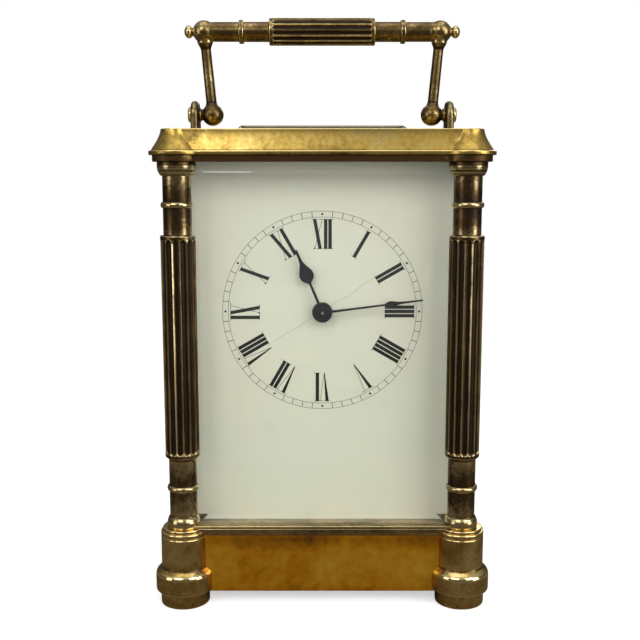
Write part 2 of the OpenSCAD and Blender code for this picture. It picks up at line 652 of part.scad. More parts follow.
module barrel() color("#c9a24f") {
    at_depth([barrel_y[1], barrel_y[2]], barrel_c) difference() {
        polygon(gear_points(barrel_teeth, barrel_module, wheel_tooth, barrel_phase));
        circle(barrel_arbor_r + fit);
    }
    ring_y(barrel_c, [barrel_y[0], barrel_y[1]], barrel_r, barrel_r - barrel_wall);
}
module barrel_cover() color("#d0ab5a")
    ring_y(barrel_c, [barrel_y[0] + 0.3, barrel_y[0] + 1.3], barrel_r - barrel_wall, barrel_arbor_r + fit);
// The wound spring is a spiral band; its inner end stops short of the core
module mainspring() color("#5c6270") at_depth([barrel_y[0] + 1.8, barrel_y[1] - 0.5], barrel_c)
    polygon(spiral_band(core_r + 0.6, barrel_r - barrel_wall - 0.1, 7, 0.45));
module winding_arbor() color("#8f8c86") {
    rod_y(barrel_c, [front_plate[0] - 0.4, ratchet_y[1] + 0.1], barrel_arbor_r);
    rod_y(barrel_c, [barrel_y[0] + 1.6, barrel_y[1] - 0.4], core_r);
    at_depth([ratchet_y[1] + 0.1, square_end], barrel_c) square(winding_square, center = true);
}
module ratchet_wheel() color("#8f8c86") at_depth(ratchet_y, barrel_c) difference() {
    polygon([for (i = [0 : ratchet_teeth - 1], k = [0, 1])
        reach([0, 0], (i + (k ? 0.12 : 0)) * 360 / ratchet_teeth, ratchet_r - k * 1.1)]);
    circle(barrel_arbor_r);
}
module click() color("#8f8c86") {
    at_depth(ratchet_y, click_c) difference() {
        union() {
            circle(2.4);
            polygon([[0, 2.2], [0, -1.4], click_nose - click_c + [1.6, -0.3], click_nose - click_c,
                click_nose - click_c + [0.6, 1.8]]);
        }
        circle(click_pin_r + fit);
    }
    ring_y(click_c, [ratchet_y[0] - 0.4, ratchet_y[0]], 1.8, click_pin_r + fit);
}
module click_spring() color("#5b6a86") {
    rod_y(click_c, [back_plate[0] + 0.5, ratchet_y[1] + 0.2], click_pin_r);
    rod_y(click_c, [ratchet_y[1] + 0.2, ratchet_y[1] + 0.9], click_pin_r + 0.9);
    rod_y(spring_foot, [back_plate[0] + 0.5, ratchet_y[1]], click_pin_r);
    rod_y(spring_foot, [back_plate[1], ratchet_y[1]], 2.2);
    at_depth([ratchet_y[0] + 0.3, ratchet_y[1] - 0.3]) polygon(concat(
        [for (t = [0 : 0.1 : 1]) spring_line(t) + [0, 0.25]],
        [for (t = [1 : -0.1 : 0]) spring_line(t) - [0, 0.25]]));
}

// ---- Train wheels ----

module intermediate_wheel() color("#c09a48") {
    at_depth(mid_wheel_y, mid) spoked_gear(mid_teeth, mid_module, mid_phase, 12.6, 3, 1);
    at_depth(mid_pinion_y, mid) pinion(mid_leaves, barrel_module, mid_pinion_phase, 1);
    arbor(mid, 1);
}
// A plain arbor between the plates, with a pivot at each end
module arbor(place, r) {
    rod_y(place, [front_plate[1] + end_shake, back_plate[0] - end_shake], r);
    rod_y(place, [front_plate[0], back_plate[1]], pivot_pin);
}
module centre_wheel() color("#c09a48") {
    at_depth(centre_wheel_y, centre)
        spoked_gear(centre_teeth, centre_module, centre_phase, 12.2, 3, centre_r + fit);
    at_depth(centre_pinion_y, centre) pinion(centre_leaves, mid_module, centre_pinion_phase, centre_r + fit);
    ring_y(centre, [centre_wheel_y[1], centre_pinion_y[0]], hub_r, centre_r + fit);
}
module centre_arbor() color("#8f8c86") {
    rod_y(centre, [front_plate[0] - 0.2, back_plate[1] + 2.2], centre_r);
    rod_y(centre, [minute_hand_y[0] - 1, front_plate[0]], arbor_r);
    at_depth([back_plate[1] + 2, square_end], centre) square(set_square, center = true);
}
module third_wheel() color("#c09a48") {
    at_depth(third_wheel_y, third) spoked_gear(third_teeth, third_module, third_phase, 9.9, 2.4, 0.8);
    at_depth([centre_wheel_y[0] - 0.3, centre_wheel_y[1] + 0.3], third)
        pinion(third_leaves, centre_module, third_pinion_phase, 0.8);
    arbor(third, 0.8);
}
// The contrate wheel carries its teeth on one face, standing along its axis
module contrate_wheel() color("#c09a48") {
    at_depth(contrate_y, contrate) difference() {
        circle(crown_r + 0.6);
        crossings(crown_r - 0.7, 2.4, 4, 1.2);
        circle(0.8);
    }
    for (i = [0 : contrate_teeth - 1]) translate([contrate[0], crown_pitch_y, contrate[1]])
        rotate([0, i * 360 / contrate_teeth, 0])
        translate([0, 0, crown_r - 0.5]) linear_extrude(1) polygon(crown_points);
    at_depth([third_wheel_y[0] - 0.4, third_wheel_y[1] + 0.4], contrate)
        pinion(contrate_leaves, third_module, contrate_pinion_phase, 0.8);
    arbor(contrate, 0.8);
}
crown_points = [for (k = [0 : 5]) let (up = k < 3, p = crown_tooth[up ? k : 5 - k])
    [(up ? -1 : 1) * p[1] * PI * crown_module, p[0] * crown_module * 2]];

// ---- Platform escapement ----

crown_top = contrate[1] + crown_r;
module platform_plate() color("#d8b968") difference() {
    union() {
        block([-platform_x, front_plate[0], platform_z[0]], [platform_x, back_plate[1], platform_z[1]]);
        block([-3, escape_y + 2.2, potence_z], [3, escape_y + 4, platform_z[0] + eps]);
        block([-1.6, escape_y - 1.4, potence_z], [1.6, escape_y + 3, potence_z + 1.2]);
    }
    cyl_z(0, escape_y, potence_z + 0.4, potence_z + 2, escape_pin + fit);
    cyl_z(0, escape_y, platform_z[0] - eps, platform_z[1] + eps, 1.2);
    cyl_z(0, pallet_y, platform_z[0] + 0.8, platform_z[1] + eps, escape_pin + fit);
    cyl_z(0, balance_y, platform_z[0] + 0.8, platform_z[1] + eps, escape_pin + fit);
    for (place = concat(platform_feet, cock_feet))
        cyl_z(place[0], place[1], platform_z[0] - eps, platform_z[1] + eps, platform_hole_r);
}
module platform_screws() color("#5b6a86") {
    for (place = platform_feet) screw_z(place, platform_z[0] + 0.02, platform_z[1]);
    for (place = cock_feet) screw_z(place, platform_z[0] + 0.1, place[2]);
}
module screw_z(place, z0, z1) difference() {
    union() {
        cyl_z(place[0], place[1], z0, z1 + 0.1, 0.7);
        cyl_z(place[0], place[1], z1, z1 + 0.7, 1.4);
    }
    block([place[0] - 2, place[1] - 0.2, z1 + 0.4], [place[0] + 2, place[1] + 0.2, z1 + 1]);
}
module escape_wheel() color("#d9b65a") {
    translate([0, escape_y, 0]) {
        translate([0, 0, escape_wheel_z[0]]) linear_extrude(escape_wheel_z[1] - escape_wheel_z[0])
            difference() {
            polygon([for (i = [0 : escape_teeth - 1], k = [0 : 2]) reach([0, 0],
                (i + [0, 0.14, 0.45][k]) * 360 / escape_teeth, escape_wheel_r - [0, 0, 1.1][k])]);
            crossings(escape_wheel_r - 1.7, 1.1, 4, 0.6);
        }
        translate([0, 0, crown_top - 0.9]) linear_extrude(1.8)
            polygon(gear_points(escape_leaves, crown_module, leaf_tooth, 270 + 180 / escape_leaves));
        cyl_z(0, 0, potence_z + 1.3, cock_z[0] - 0.1, 0.55);
        cyl_z(0, 0, potence_z + 0.5, cock_z[1], escape_pin);
    }
}
module pallet_lever() color("#8f8c86") translate([0, pallet_y, 0]) {
    translate([0, 0, lever_z[0]]) linear_extrude(lever_z[1] - lever_z[0]) {
        circle(1.0);
        polygon([[-0.5, 0], [-0.35, 1 - lever_reach], [0.35, 1 - lever_reach], [0.5, 0]]);
        for (side = [-1, 1]) {
            polygon([[0, -0.8], [side * pallet_x, pallet_tip - 1.1], [side * pallet_x, pallet_tip],
                [side * (pallet_x - 0.8), pallet_tip], [0, 0.8]]);
            polygon([[0, -lever_reach + 1.2], [side * 0.95, -lever_reach + 0.9], [side * 0.75, -lever_reach],
                [side * 0.4, -lever_reach], [side * 0.4, -lever_reach + 0.6], [0, -lever_reach + 0.6]]);
        }
    }
    cyl_z(0, 0, platform_z[1] + 0.1, cock_z[0] - 0.1, 0.5);
    cyl_z(0, 0, platform_z[0] + 0.9, cock_z[1], escape_pin);
}
// One bridge carries the upper pivots of the lever and the escape wheel
module lever_cock() color("#d8b968") difference() {
    union() {
        block([-cock_foot_x - 1.8, pallet_y - 1.2, cock_z[0]],
            [cock_foot_x + 1.8, pallet_y + 1.6, cock_z[1]]);
        block([-1.5, pallet_y, cock_z[0]], [1.5, escape_y + 1.5, cock_z[1]]);
        for (side = [-1, 1]) block([side * cock_foot_x - 1.8, pallet_y - 1.2, platform_z[1]],
            [side * cock_foot_x + 1.8, pallet_y + 1.6, cock_z[1]]);
    }
    for (y = [pallet_y, escape_y]) cyl_z(0, y, cock_z[0] - eps, cock_z[1] + eps, escape_pin + fit);
    for (side = [-1, 1])
        cyl_z(side * cock_foot_x, pallet_y + 0.2, platform_z[1] - eps, cock_z[1] + eps, platform_hole_r);
}
module balance_wheel() color("#c9a24f") translate([0, balance_y, 0]) {
    translate([0, 0, balance_z[0]]) linear_extrude(balance_z[1] - balance_z[0]) difference() {
        circle(balance_r);
        crossings(balance_r - 0.9, 1.2, 2, 1.2);
    }
    for (i = [0 : 13]) rotate(i * 360 / 14 + 6)
        translate([balance_r - 0.2, 0, (balance_z[0] + balance_z[1]) / 2])
        rotate([0, 90, 0]) cylinder(h = 0.8, r = 0.4);
    cyl_z(0, 0, roller_z, roller_z + 0.6, 1.7);
    cyl_z(0, -pin_at, lever_z[0] + 0.1, roller_z + 0.1, 0.22);
    cyl_z(0, 0, platform_z[1] + 0.1, balance_cock_z[0] - 0.1, 0.45);
    cyl_z(0, 0, platform_z[0] + 0.9, balance_cock_z[1] - 0.2, escape_pin);
}
module hairspring() color("#5b6a86") translate([0, balance_y, spring_z]) {
    linear_extrude(0.4) polygon(spiral_band(1.0, 4.0, 6, 0.14));
    translate([4.0, 0, 0]) cylinder(h = balance_cock_z[0] - spring_z, r = 0.35);
}
module balance_cock() color("#d8b968") difference() {
    union() {
        block([-cock_w, front_plate[0] + 0.2, platform_z[1]],
            [cock_w, front_plate[0] + 3.2, balance_cock_z[1]]);
        block([-cock_w, front_plate[0] + 0.2, balance_cock_z[0]], [cock_w, balance_y, balance_cock_z[1]]);
        cyl_z(0, balance_y, balance_cock_z[0], balance_cock_z[1], 4.6);
        cyl_z(0, balance_y, balance_cock_z[1] - eps, index_z[1], index_seat_r);
    }
    cyl_z(0, balance_y, balance_cock_z[0] - eps, balance_cock_z[1] - 0.1, escape_pin + fit);
    cyl_z(0, front_plate[0] + 1.7, platform_z[1] - eps, balance_cock_z[1] + eps, platform_hole_r);
}
module regulator_index() color("#8f8c86") translate([0, balance_y, index_z[0]])
    linear_extrude(index_z[1] - index_z[0]) difference() {
        union() {
            circle(index_seat_r + 1.2);
            polygon([[0.6, 0], [0.2, 8.4], [-0.2, 8.4], [-0.6, 0]]);
            polygon([[0, -0.7], [4.4, -0.5], [4.4, 0.5], [0, 0.7]]);
        }
        circle(index_seat_r + fit);
    }

// A flat spiral band, as one closed outline
function spiral_at(r0, r1, turns, t) = reach([0, 0], t * turns * 360, r0 + (r1 - r0) * t);
function spiral_band(r0, r1, turns, thick) =
    concat([for (i = [0 : turns * 24]) spiral_at(r0, r1 - thick, turns, i / (turns * 24))],
        [for (i = [turns * 24 : -1 : 0]) spiral_at(r0 + thick, r1, turns, i / (turns * 24))]);
function spring_line(t) = [spring_foot[0] + (click_c[0] + 2 - spring_foot[0]) * t,
    spring_foot[1] + (click_c[1] + 3.4 - spring_foot[1]) * t + 1.6 * sin(180 * t)];
function span_of(a, b) = [min(a, b), max(a, b)];

// ---- Assembly ----

for (sx = [-1, 1], sy = [-1, 1]) {
    place = str(sy < 0 ? "front" : "rear", sx < 0 ? "_left" : "_right");
    translate([sx * cx, sy * cy, 0]) pedestal();
    column(sx, sy);
}
base_plinth();
column_screws();
cornice_frame();
top_glass();
front_glass();
handle_pivot_screws();
handle_bar();
handle_finials();
door_frame();
door_glass();
door_knob();
door_pins();
dial();
hour_hand();
minute_hand();
hand_collet();
cannon_pinion();
minute_wheel();
hour_wheel();
minute_stud();
front_plate();
back_plate();
plate_pillars();
pillar_screws();
movement_screws();
barrel();
barrel_cover();
mainspring();
winding_arbor();
ratchet_wheel();
click();
click_spring();
intermediate_wheel();
centre_wheel();
centre_arbor();
third_wheel();
contrate_wheel();
platform_plate();
platform_screws();
escape_wheel();
pallet_lever();
lever_cock();
balance_wheel();
hairspring();
balance_cock();
regulator_index();
side_glass(-1);  // left_glass
side_glass(1);  // right_glass
handle_lug(-1);  // handle_lug_left
handle_lug(1);  // handle_lug_right
handle_arm(-1);  // handle_arm_left
handle_arm(1);  // handle_arm_right
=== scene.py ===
import math

import bpy
from mathutils import Matrix, Vector


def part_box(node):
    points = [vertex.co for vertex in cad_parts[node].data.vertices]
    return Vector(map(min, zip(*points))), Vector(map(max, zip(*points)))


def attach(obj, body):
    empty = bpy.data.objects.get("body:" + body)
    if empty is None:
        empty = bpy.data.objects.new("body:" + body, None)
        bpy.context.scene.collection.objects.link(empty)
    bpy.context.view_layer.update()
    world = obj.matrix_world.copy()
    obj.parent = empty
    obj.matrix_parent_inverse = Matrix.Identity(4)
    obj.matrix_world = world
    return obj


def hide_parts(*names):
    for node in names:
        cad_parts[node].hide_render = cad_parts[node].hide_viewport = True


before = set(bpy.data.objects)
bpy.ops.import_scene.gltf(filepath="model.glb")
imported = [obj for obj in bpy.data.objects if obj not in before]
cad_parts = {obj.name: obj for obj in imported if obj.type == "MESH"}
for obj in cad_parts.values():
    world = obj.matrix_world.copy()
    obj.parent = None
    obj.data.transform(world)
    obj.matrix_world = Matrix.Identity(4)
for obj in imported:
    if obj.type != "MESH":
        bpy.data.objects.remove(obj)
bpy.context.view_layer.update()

# Shapes are worked out in millimetres and go into Blender in metres
MM = 0.001
SHARP_EDGE = math.radians(38)


def edges(node):
    """Lowest and highest corner of a CAD node, in millimetres."""
    low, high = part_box(node)
    return low / MM, high / MM


def mid(node):
    low, high = edges(node)
    return (low + high) / 2


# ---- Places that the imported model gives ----

COLUMN = mid("pedestal_front_right")
COLUMN_X = COLUMN.x
COLUMN_Y = -COLUMN.y
PEDESTAL_TOP = edges("pedestal_front_right")[1].z
RING_R = (edges("pedestal_front_right")[1].x - edges("pedestal_front_right")[0].x) / 2 - 0.01
SILL_Z = edges("base_plinth")[1].z
EAR_R = -edges("base_plinth")[0].y - COLUMN_Y
BASE_Z = edges("base_plinth")[0].z
CORNICE_Z = edges("cornice_frame")[0].z
CORNICE_TOP = edges("cornice_frame")[1].z
COLUMN_Z = edges("column_front_right")[0].z
PIVOT_Z = mid("handle_pivot_screws").z
GRIP_Z = mid("handle_finials").z
FINIAL_X = edges("handle_finials")[1].x
DIAL_FACE = edges("dial")[0].y
HANDS_Z = mid("hand_collet").z
TOP_GLASS = edges("top_glass")[1]
WINDOW = [TOP_GLASS.x + 0.05, TOP_GLASS.y + 0.05]
HOUR_HAND_Y = edges("hour_hand")
MINUTE_HAND_Y = edges("minute_hand")


# ---- Shapes: each is (points, faces), a point being x, y, z and wear, which in places also carries painted shade ----

def rounded(profile, steps=4):
    """A profile of [radius, height, fillet] as [radius, height, wear], with its corners rounded.

    Wear is 1 where a corner stands out, 0 where it lies in a hollow and 0.5 on a flat stretch.
    """
    made = []
    for i, (radius, height, fillet) in enumerate(profile):
        if fillet == 0 or i in (0, len(profile) - 1):
            made.append((radius, height, 0.5))
            continue
        here = Vector((radius, height))
        back = Vector(profile[i - 1][:2]) - here
        ahead = Vector(profile[i + 1][:2]) - here
        reach = min(fillet, back.length / 2.05, ahead.length / 2.05)
        start = here + back.normalized() * reach
        end = here + ahead.normalized() * reach
        stands_out = back.y * ahead.x - back.x * ahead.y > 0
        for k in range(steps + 1):
            t = k / steps
            point = start.lerp(here, t).lerp(here.lerp(end, t), t)
            bulge = math.sin(math.pi * t) * 0.5
            made.append((point.x, point.y, 0.5 + bulge if stands_out else 0.5 - bulge))
    return made


def arc(centre, radius, start, end, steps):
    """Points of a profile along an arc about (radius, height), with angles in degrees."""
    made = []
    for k in range(steps + 1):
        angle = math.radians(start + (end - start) * k / steps)
        made.append((centre[0] + radius * math.cos(angle), centre[1] + radius * math.sin(angle), 0))
    return made


def skin(rings, closed=False):
    """Faces between rings of points; a ring of one point closes an end."""
    points = [point for ring in rings for point in ring]
    starts = [0]
    for ring in rings:
        starts.append(starts[-1] + len(ring))
    pairs = [(i, i + 1) for i in range(len(rings) - 1)]
    if closed:
        pairs.append((len(rings) - 1, 0))
    faces = []
    for low, high in pairs:
        count = max(len(rings[low]), len(rings[high]))
        for k in range(count):
            following = (k + 1) % count
            corners = [
                starts[low] + k % len(rings[low]),
                starts[low] + following % len(rings[low]),
                starts[high] + following % len(rings[high]),
                starts[high] + k % len(rings[high]),
            ]
            faces.append(list(dict.fromkeys(corners)))
    return points, faces


def turned(profile, segments=96, carve=None):
    """A piece turned about Z from [radius, height, wear]; carve may move each point in or out."""
    rings = []
    for radius, height, wear_and_shade in profile:
        if radius < 0.001:
            rings.append([(0.0, 0.0, height, wear_and_shade)])
            continue
        ring = []
        for k in range(segments):
            angle = 2 * math.pi * k / segments
            r, w = carve(angle, height, radius, wear_and_shade) if carve else (radius, wear_and_shade)
            ring.append((r * math.cos(angle), r * math.sin(angle), height, w))
        rings.append(ring)
    return skin(rings)


def placed(shape, matrix):
    """The shape moved by a matrix, turned the right way out if the matrix mirrors it."""
    points, faces = shape
    moved = []
    for x, y, z, wear_and_shade in points:
        moved.append((*(matrix @ Vector((x, y, z))), wear_and_shade))
    if matrix.determinant() < 0:
        faces = [face[::-1] for face in faces]
    return moved, faces


def at(x, y, z):
    return Matrix.Translation((x, y, z))


def mirrored(side):
    return Matrix.Scale(-1, 4, (1, 0, 0)) if side < 0 else Matrix.Identity(4)


# Turns the Z axis of a shape onto X
ALONG_X = Matrix.Rotation(math.radians(90), 4, "Y")
# Turns the Z axis of a shape towards the front, -Y
TO_FRONT = Matrix.Rotation(math.radians(90), 4, "X")


def mesh_object(name, shapes, material):
    points = []
    faces = []
    for shape_points, shape_faces in shapes:
        start = len(points)
        points.extend(shape_points)
        faces.extend([[i + start for i in face] for face in shape_faces])
    mesh = bpy.data.meshes.new(name)
    mesh.from_pydata([(x * MM, y * MM, z * MM) for x, y, z, _ in points], [], faces)
    wear_and_shade = mesh.attributes.new("wear_and_shade", "FLOAT", "POINT")
    wear_and_shade.data.foreach_set("value", [point[3] for point in points])
    mesh.shade_smooth()
    mesh.set_sharp_from_angle(angle=SHARP_EDGE)
    mesh.materials.append(material)
    made = bpy.data.objects.new(name, mesh)
    bpy.context.scene.collection.objects.link(made)
    return made


def piece(name, shapes, material, body, stands_for=()):
    """A Blender piece that rides on a body, and may stand for CAD nodes."""
    made = mesh_object(name, shapes, material)
    weighted = made.modifiers.new("even shading", "WEIGHTED_NORMAL")
    weighted.keep_sharp = True
    weighted.weight = 80
    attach(made, body)
    if stands_for:
        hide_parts(*stands_for)
    return made


# ---- Material building blocks ----

def start_material(name):
    material = bpy.data.materials.new(name)
    material.use_nodes = True
    tree = material.node_tree
    return material, tree, tree.nodes["Principled BSDF"]


def node(tree, kind, inputs=(), **settings):
    """A shader node; inputs are (socket, value or source socket) pairs."""
    made = tree.nodes.new(kind)
    for key, value in settings.items():
        setattr(made, key, value)
    for key, value in inputs:
        if isinstance(value, bpy.types.NodeSocket):
            tree.links.new(value, made.inputs[key])
        else:
            made.inputs[key].default_value = value
    return made


def place(tree, stretch=(1, 1, 1)):
    """Object coordinates, stretched."""
    where = node(tree, "ShaderNodeTexCoord").outputs["Object"]
    return node(tree, "ShaderNodeMapping", [("Vector", where), ("Scale", stretch)]).outputs[0]


def noise(tree, where, scale, detail=4.0, rough=0.5, distortion=0.0):
    inputs = [("Vector", where), ("Scale", scale), ("Detail", detail)]
    inputs += [("Roughness", rough), ("Distortion", distortion)]
    return node(tree, "ShaderNodeTexNoise", inputs).outputs["Fac"]


def sums(tree, operation, a, b, clamp=False):
    return node(tree, "ShaderNodeMath", [(0, a), (1, b)], operation=operation, use_clamp=clamp).outputs[0]


def spread(tree, value, low, high, to_low=0.0, to_high=1.0):
    """The value from low to high, spread over a new range and held within it."""
    inputs = [("Value", value), ("From Min", low), ("From Max", high)]
    inputs += [("To Min", to_low), ("To Max", to_high)]
    return node(tree, "ShaderNodeMapRange", inputs).outputs["Result"]


def colours(tree, factor, stops):
    """A colour ramp with (position, (r, g, b)) stops."""
    made = node(tree, "ShaderNodeValToRGB", [("Fac", factor)])
    ramp = made.color_ramp
    while len(ramp.elements) < len(stops):
        ramp.elements.new(0.5)
    for element, (position, colour) in zip(ramp.elements, stops):
        element.position = position
        element.color = (*colour, 1)
    return made.outputs["Color"]


def blended(tree, factor, a, b):
    made = node(tree, "ShaderNodeMix", data_type="RGBA")
    for index, value in ((0, factor), (6, a), (7, b)):
        if isinstance(value, bpy.types.NodeSocket):
            tree.links.new(value, made.inputs[index])
        else:
            made.inputs[index].default_value = value if index == 0 else (*value, 1)
    return made.outputs[2]


def bumped(tree, shader, height, strength, distance):
    inputs = [("Height", height), ("Strength", strength), ("Distance", distance)]
    tree.links.new(node(tree, "ShaderNodeBump", inputs).outputs[0], shader.inputs["Normal"])


def aged_metal(name, dark, body, bright, tarnish=0.5, rough=(0.2, 0.5), grain=(300, 300, 1400),
               wear_and_shade_gain=1.6, patch=110, bump=0.25, carved=True, metallic=(0.75, 1.0)):
    """Old brass: dark in its hollows, rubbed bright on its edges, mottled in between.

    Tarnish moves the whole piece towards dark; carved pieces carry wear on their points,
    and on the cornice and the base painted shade as well; the others find their edges by pointiness.
    """
    material, tree, shader = start_material(name)
    where = place(tree)
    if carved:
        wear_and_shade = node(tree, "ShaderNodeAttribute", attribute_name="wear_and_shade").outputs["Fac"]
    else:
        wear_and_shade = spread(tree, node(tree, "ShaderNodeNewGeometry").outputs["Pointiness"], 0.44, 0.56)
    clouds = noise(tree, where, patch, 5, 0.6, 0.4)
    specks = noise(tree, where, patch * 9, 4, 0.65)
    mottle = sums(tree, "ADD", sums(tree, "MULTIPLY", clouds, 0.65), sums(tree, "MULTIPLY", specks, 0.35))
    mottle = spread(tree, mottle, 0.36, 0.64, -0.32, 0.32)
    # Painted shade comes in through the same attribute as the wear: under the cornice lip, on the cornice
    # ears and on the base it is held low and darkens the colour
    rubbed_and_shaded = sums(tree, "MULTIPLY", sums(tree, "SUBTRACT", wear_and_shade, 0.5), wear_and_shade_gain)
    polish_and_shade = sums(tree, "ADD", sums(tree, "ADD", mottle, rubbed_and_shaded), 1 - tarnish, clamp=True)
    tint = colours(tree, polish_and_shade, [(0, dark), (0.5, body), (1, bright)])
    tree.links.new(tint, shader.inputs["Base Color"])
    tree.links.new(spread(tree, polish_and_shade, 0, 1, rough[1], rough[0]), shader.inputs["Roughness"])
    tree.links.new(spread(tree, polish_and_shade, 0, 0.35, *metallic), shader.inputs["Metallic"])
    lines = noise(tree, place(tree, grain), 1, 3, 0.6)
    height = sums(tree, "ADD", sums(tree, "MULTIPLY", lines, 0.5), sums(tree, "MULTIPLY", specks, 0.5))
    bumped(tree, shader, height, bump, 0.00012)
    return material


def plain_metal(name, low, high, rough, grain, patch=60, bump=0.12):
    """Clean metal inside the case, with fine grain and a slow change of tone."""
    material, tree, shader = start_material(name)
    clouds = noise(tree, place(tree), patch, 4, 0.55)
    lines = noise(tree, place(tree, grain), 1, 3, 0.6)
    tone = sums(tree, "ADD", sums(tree, "MULTIPLY", clouds, 0.6), sums(tree, "MULTIPLY", lines, 0.4))
    tone = spread(tree, tone, 0.35, 0.65)
    tree.links.new(colours(tree, tone, [(0, low), (1, high)]), shader.inputs["Base Color"])
    tree.links.new(spread(tree, tone, 0, 1, rough[1], rough[0]), shader.inputs["Roughness"])
    shader.inputs["Metallic"].default_value = 1
    bumped(tree, shader, lines, bump, 0.00008)
    return material


def enamel_material():
    """White enamel gone ivory, with faint stains, a hairline crack and a fine orange-peel surface."""
    material, tree, shader = start_material("ivory_enamel")
    where = place(tree)
    clouds = noise(tree, where, 28, 3, 0.5)
    stains = noise(tree, where, 140, 5, 0.6)
    tint = blended(tree, spread(tree, clouds, 0.35, 0.65), (0.70, 0.72, 0.58), (0.74, 0.70, 0.57))
    tint = blended(tree, spread(tree, stains, 0.60, 0.78, 0, 0.35), tint, (0.55, 0.52, 0.38))
    crack = crack_line(tree, 58, 17.0, 20.0)
    tint = blended(tree, crack, tint, (0.42, 0.36, 0.22))
    tree.links.new(tint, shader.inputs["Base Color"])
    tree.links.new(spread(tree, stains, 0.3, 0.8, 0.16, 0.3), shader.inputs["Roughness"])
    shader.inputs["Coat Weight"].default_value = 0.3
    shader.inputs["Coat Roughness"].default_value = 0.05
    bumped(tree, shader, noise(tree, where, 900, 2), 0.05, 0.0001)
    return material


def crack_line(tree, bearing, inward, outward):
    """A wavering hairline across the dial through its middle; bearing is clockwise from twelve."""
    where = node(tree, "ShaderNodeTexCoord").outputs["Object"]
    angle = math.radians(bearing)
    parts = node(tree, "ShaderNodeSeparateXYZ", [("Vector", where)])
    x = parts.outputs["X"]
    z = sums(tree, "SUBTRACT", parts.outputs["Z"], HANDS_Z * MM)
    along = sums(tree, "ADD", sums(tree, "MULTIPLY", x, math.sin(angle)),
                 sums(tree, "MULTIPLY", z, math.cos(angle)))
    across = sums(tree, "SUBTRACT", sums(tree, "MULTIPLY", x, math.cos(angle)),
                  sums(tree, "MULTIPLY", z, math.sin(angle)))
    waver = sums(tree, "MULTIPLY", sums(tree, "SUBTRACT", noise(tree, where, 90, 3), 0.5), 3 * MM)
    gap = sums(tree, "ABSOLUTE", sums(tree, "ADD", across, waver), 0)
    line = spread(tree, gap, 0.05 * MM, 0.16 * MM, 0.55, 0)
    begins = spread(tree, along, -(inward + 2) * MM, -(inward - 2) * MM)
    ends = spread(tree, along, (outward - 2) * MM, (outward + 2) * MM, 1, 0)
    return sums(tree, "MULTIPLY", line, sums(tree, "MULTIPLY", begins, ends))


def glass_material(name, tint):
    """Clear glass that lets the light of the lamps straight through."""
    material, tree, shader = start_material(name)
    shader.inputs["Base Color"].default_value = (*tint, 1)
    shader.inputs["Roughness"].default_value = 0.0
    shader.inputs["IOR"].default_value = 1.5
    shader.inputs["Transmission Weight"].default_value = 1
    clear = node(tree, "ShaderNodeBsdfTransparent", [("Color", (*tint, 1))])
    shadow = node(tree, "ShaderNodeLightPath").outputs["Is Shadow Ray"]
    mixed = node(tree, "ShaderNodeMixShader", [(0, shadow), (1, shader.outputs[0]), (2, clear.outputs[0])])
    tree.links.new(mixed.outputs[0], tree.nodes["Material Output"].inputs["Surface"])
    return material


def black_paint(name, tint, rough):
    material, tree, shader = start_material(name)
    speck = noise(tree, place(tree), 1500, 4, 0.6)
    low = tuple(part * 0.6 for part in tint)
    tree.links.new(blended(tree, speck, low, tint), shader.inputs["Base Color"])
    tree.links.new(spread(tree, speck, 0.3, 0.7, rough, rough + 0.15), shader.inputs["Roughness"])
    shader.inputs["Specular IOR Level"].default_value = 0.15
    return material


# ---- Materials ----

DARK_BROWN = (0.022, 0.012, 0.005)
columns_metal = aged_metal("aged_column_brass", DARK_BROWN, (0.12, 0.075, 0.032), (0.62, 0.48, 0.24),
                           tarnish=0.62, rough=(0.2, 0.4), grain=(250, 250, 1600), wear_and_shade_gain=1.5)
pedestal_metal = aged_metal("satin_pedestal_brass", (0.10, 0.05, 0.012), (0.50, 0.32, 0.09),
                            (0.92, 0.72, 0.34), tarnish=0.42, rough=(0.12, 0.28), grain=(250, 250, 1800))
cornice_metal = aged_metal("worn_cornice_brass", (0.08, 0.042, 0.010), (0.62, 0.42, 0.10),
                           (0.94, 0.76, 0.32), tarnish=0.48, rough=(0.2, 0.42), grain=(500, 500, 500),
                           patch=80)
base_metal = aged_metal("lacquered_base_brass", (0.09, 0.026, 0.002), (0.52, 0.21, 0.003),
                        (0.68, 0.38, 0.03), tarnish=0.5, rough=(0.12, 0.26), grain=(400, 400, 400), patch=40,
                        bump=0.04, metallic=(0.35, 0.55))
moulding_metal = aged_metal("dull_moulding_brass", (0.035, 0.024, 0.010), (0.36, 0.25, 0.10),
                            (0.80, 0.64, 0.32), tarnish=0.56, rough=(0.2, 0.4), grain=(1400, 1400, 400))
handle_metal = aged_metal("aged_handle_brass", DARK_BROWN, (0.19, 0.125, 0.046), (0.70, 0.55, 0.26),
                          tarnish=0.60, rough=(0.2, 0.4), grain=(1600, 300, 300), wear_and_shade_gain=1.5)
lug_metal = aged_metal("dark_lug_brass", DARK_BROWN, (0.15, 0.10, 0.04), (0.50, 0.40, 0.20),
                       tarnish=0.62, rough=(0.26, 0.42), grain=(400, 400, 1200))
fitting_metal = aged_metal("aged_fitting_brass", DARK_BROWN, (0.17, 0.11, 0.04), (0.60, 0.47, 0.22),
                           tarnish=0.62, rough=(0.28, 0.45), grain=(300, 300, 300), carved=False)
door_metal = aged_metal("worn_door_brass", (0.09, 0.048, 0.014), (0.50, 0.35, 0.11), (0.92, 0.74, 0.34),
                        tarnish=0.46, rough=(0.2, 0.4), grain=(300, 300, 1500), carved=False)
plate_metal = plain_metal("brushed_plate_brass", (0.56, 0.39, 0.14), (0.86, 0.66, 0.30), (0.2, 0.36),
                          (60, 60, 3000))
wheel_metal = plain_metal("polished_wheel_brass", (0.66, 0.47, 0.17), (0.94, 0.74, 0.36), (0.14, 0.28),
                          (900, 900, 900))
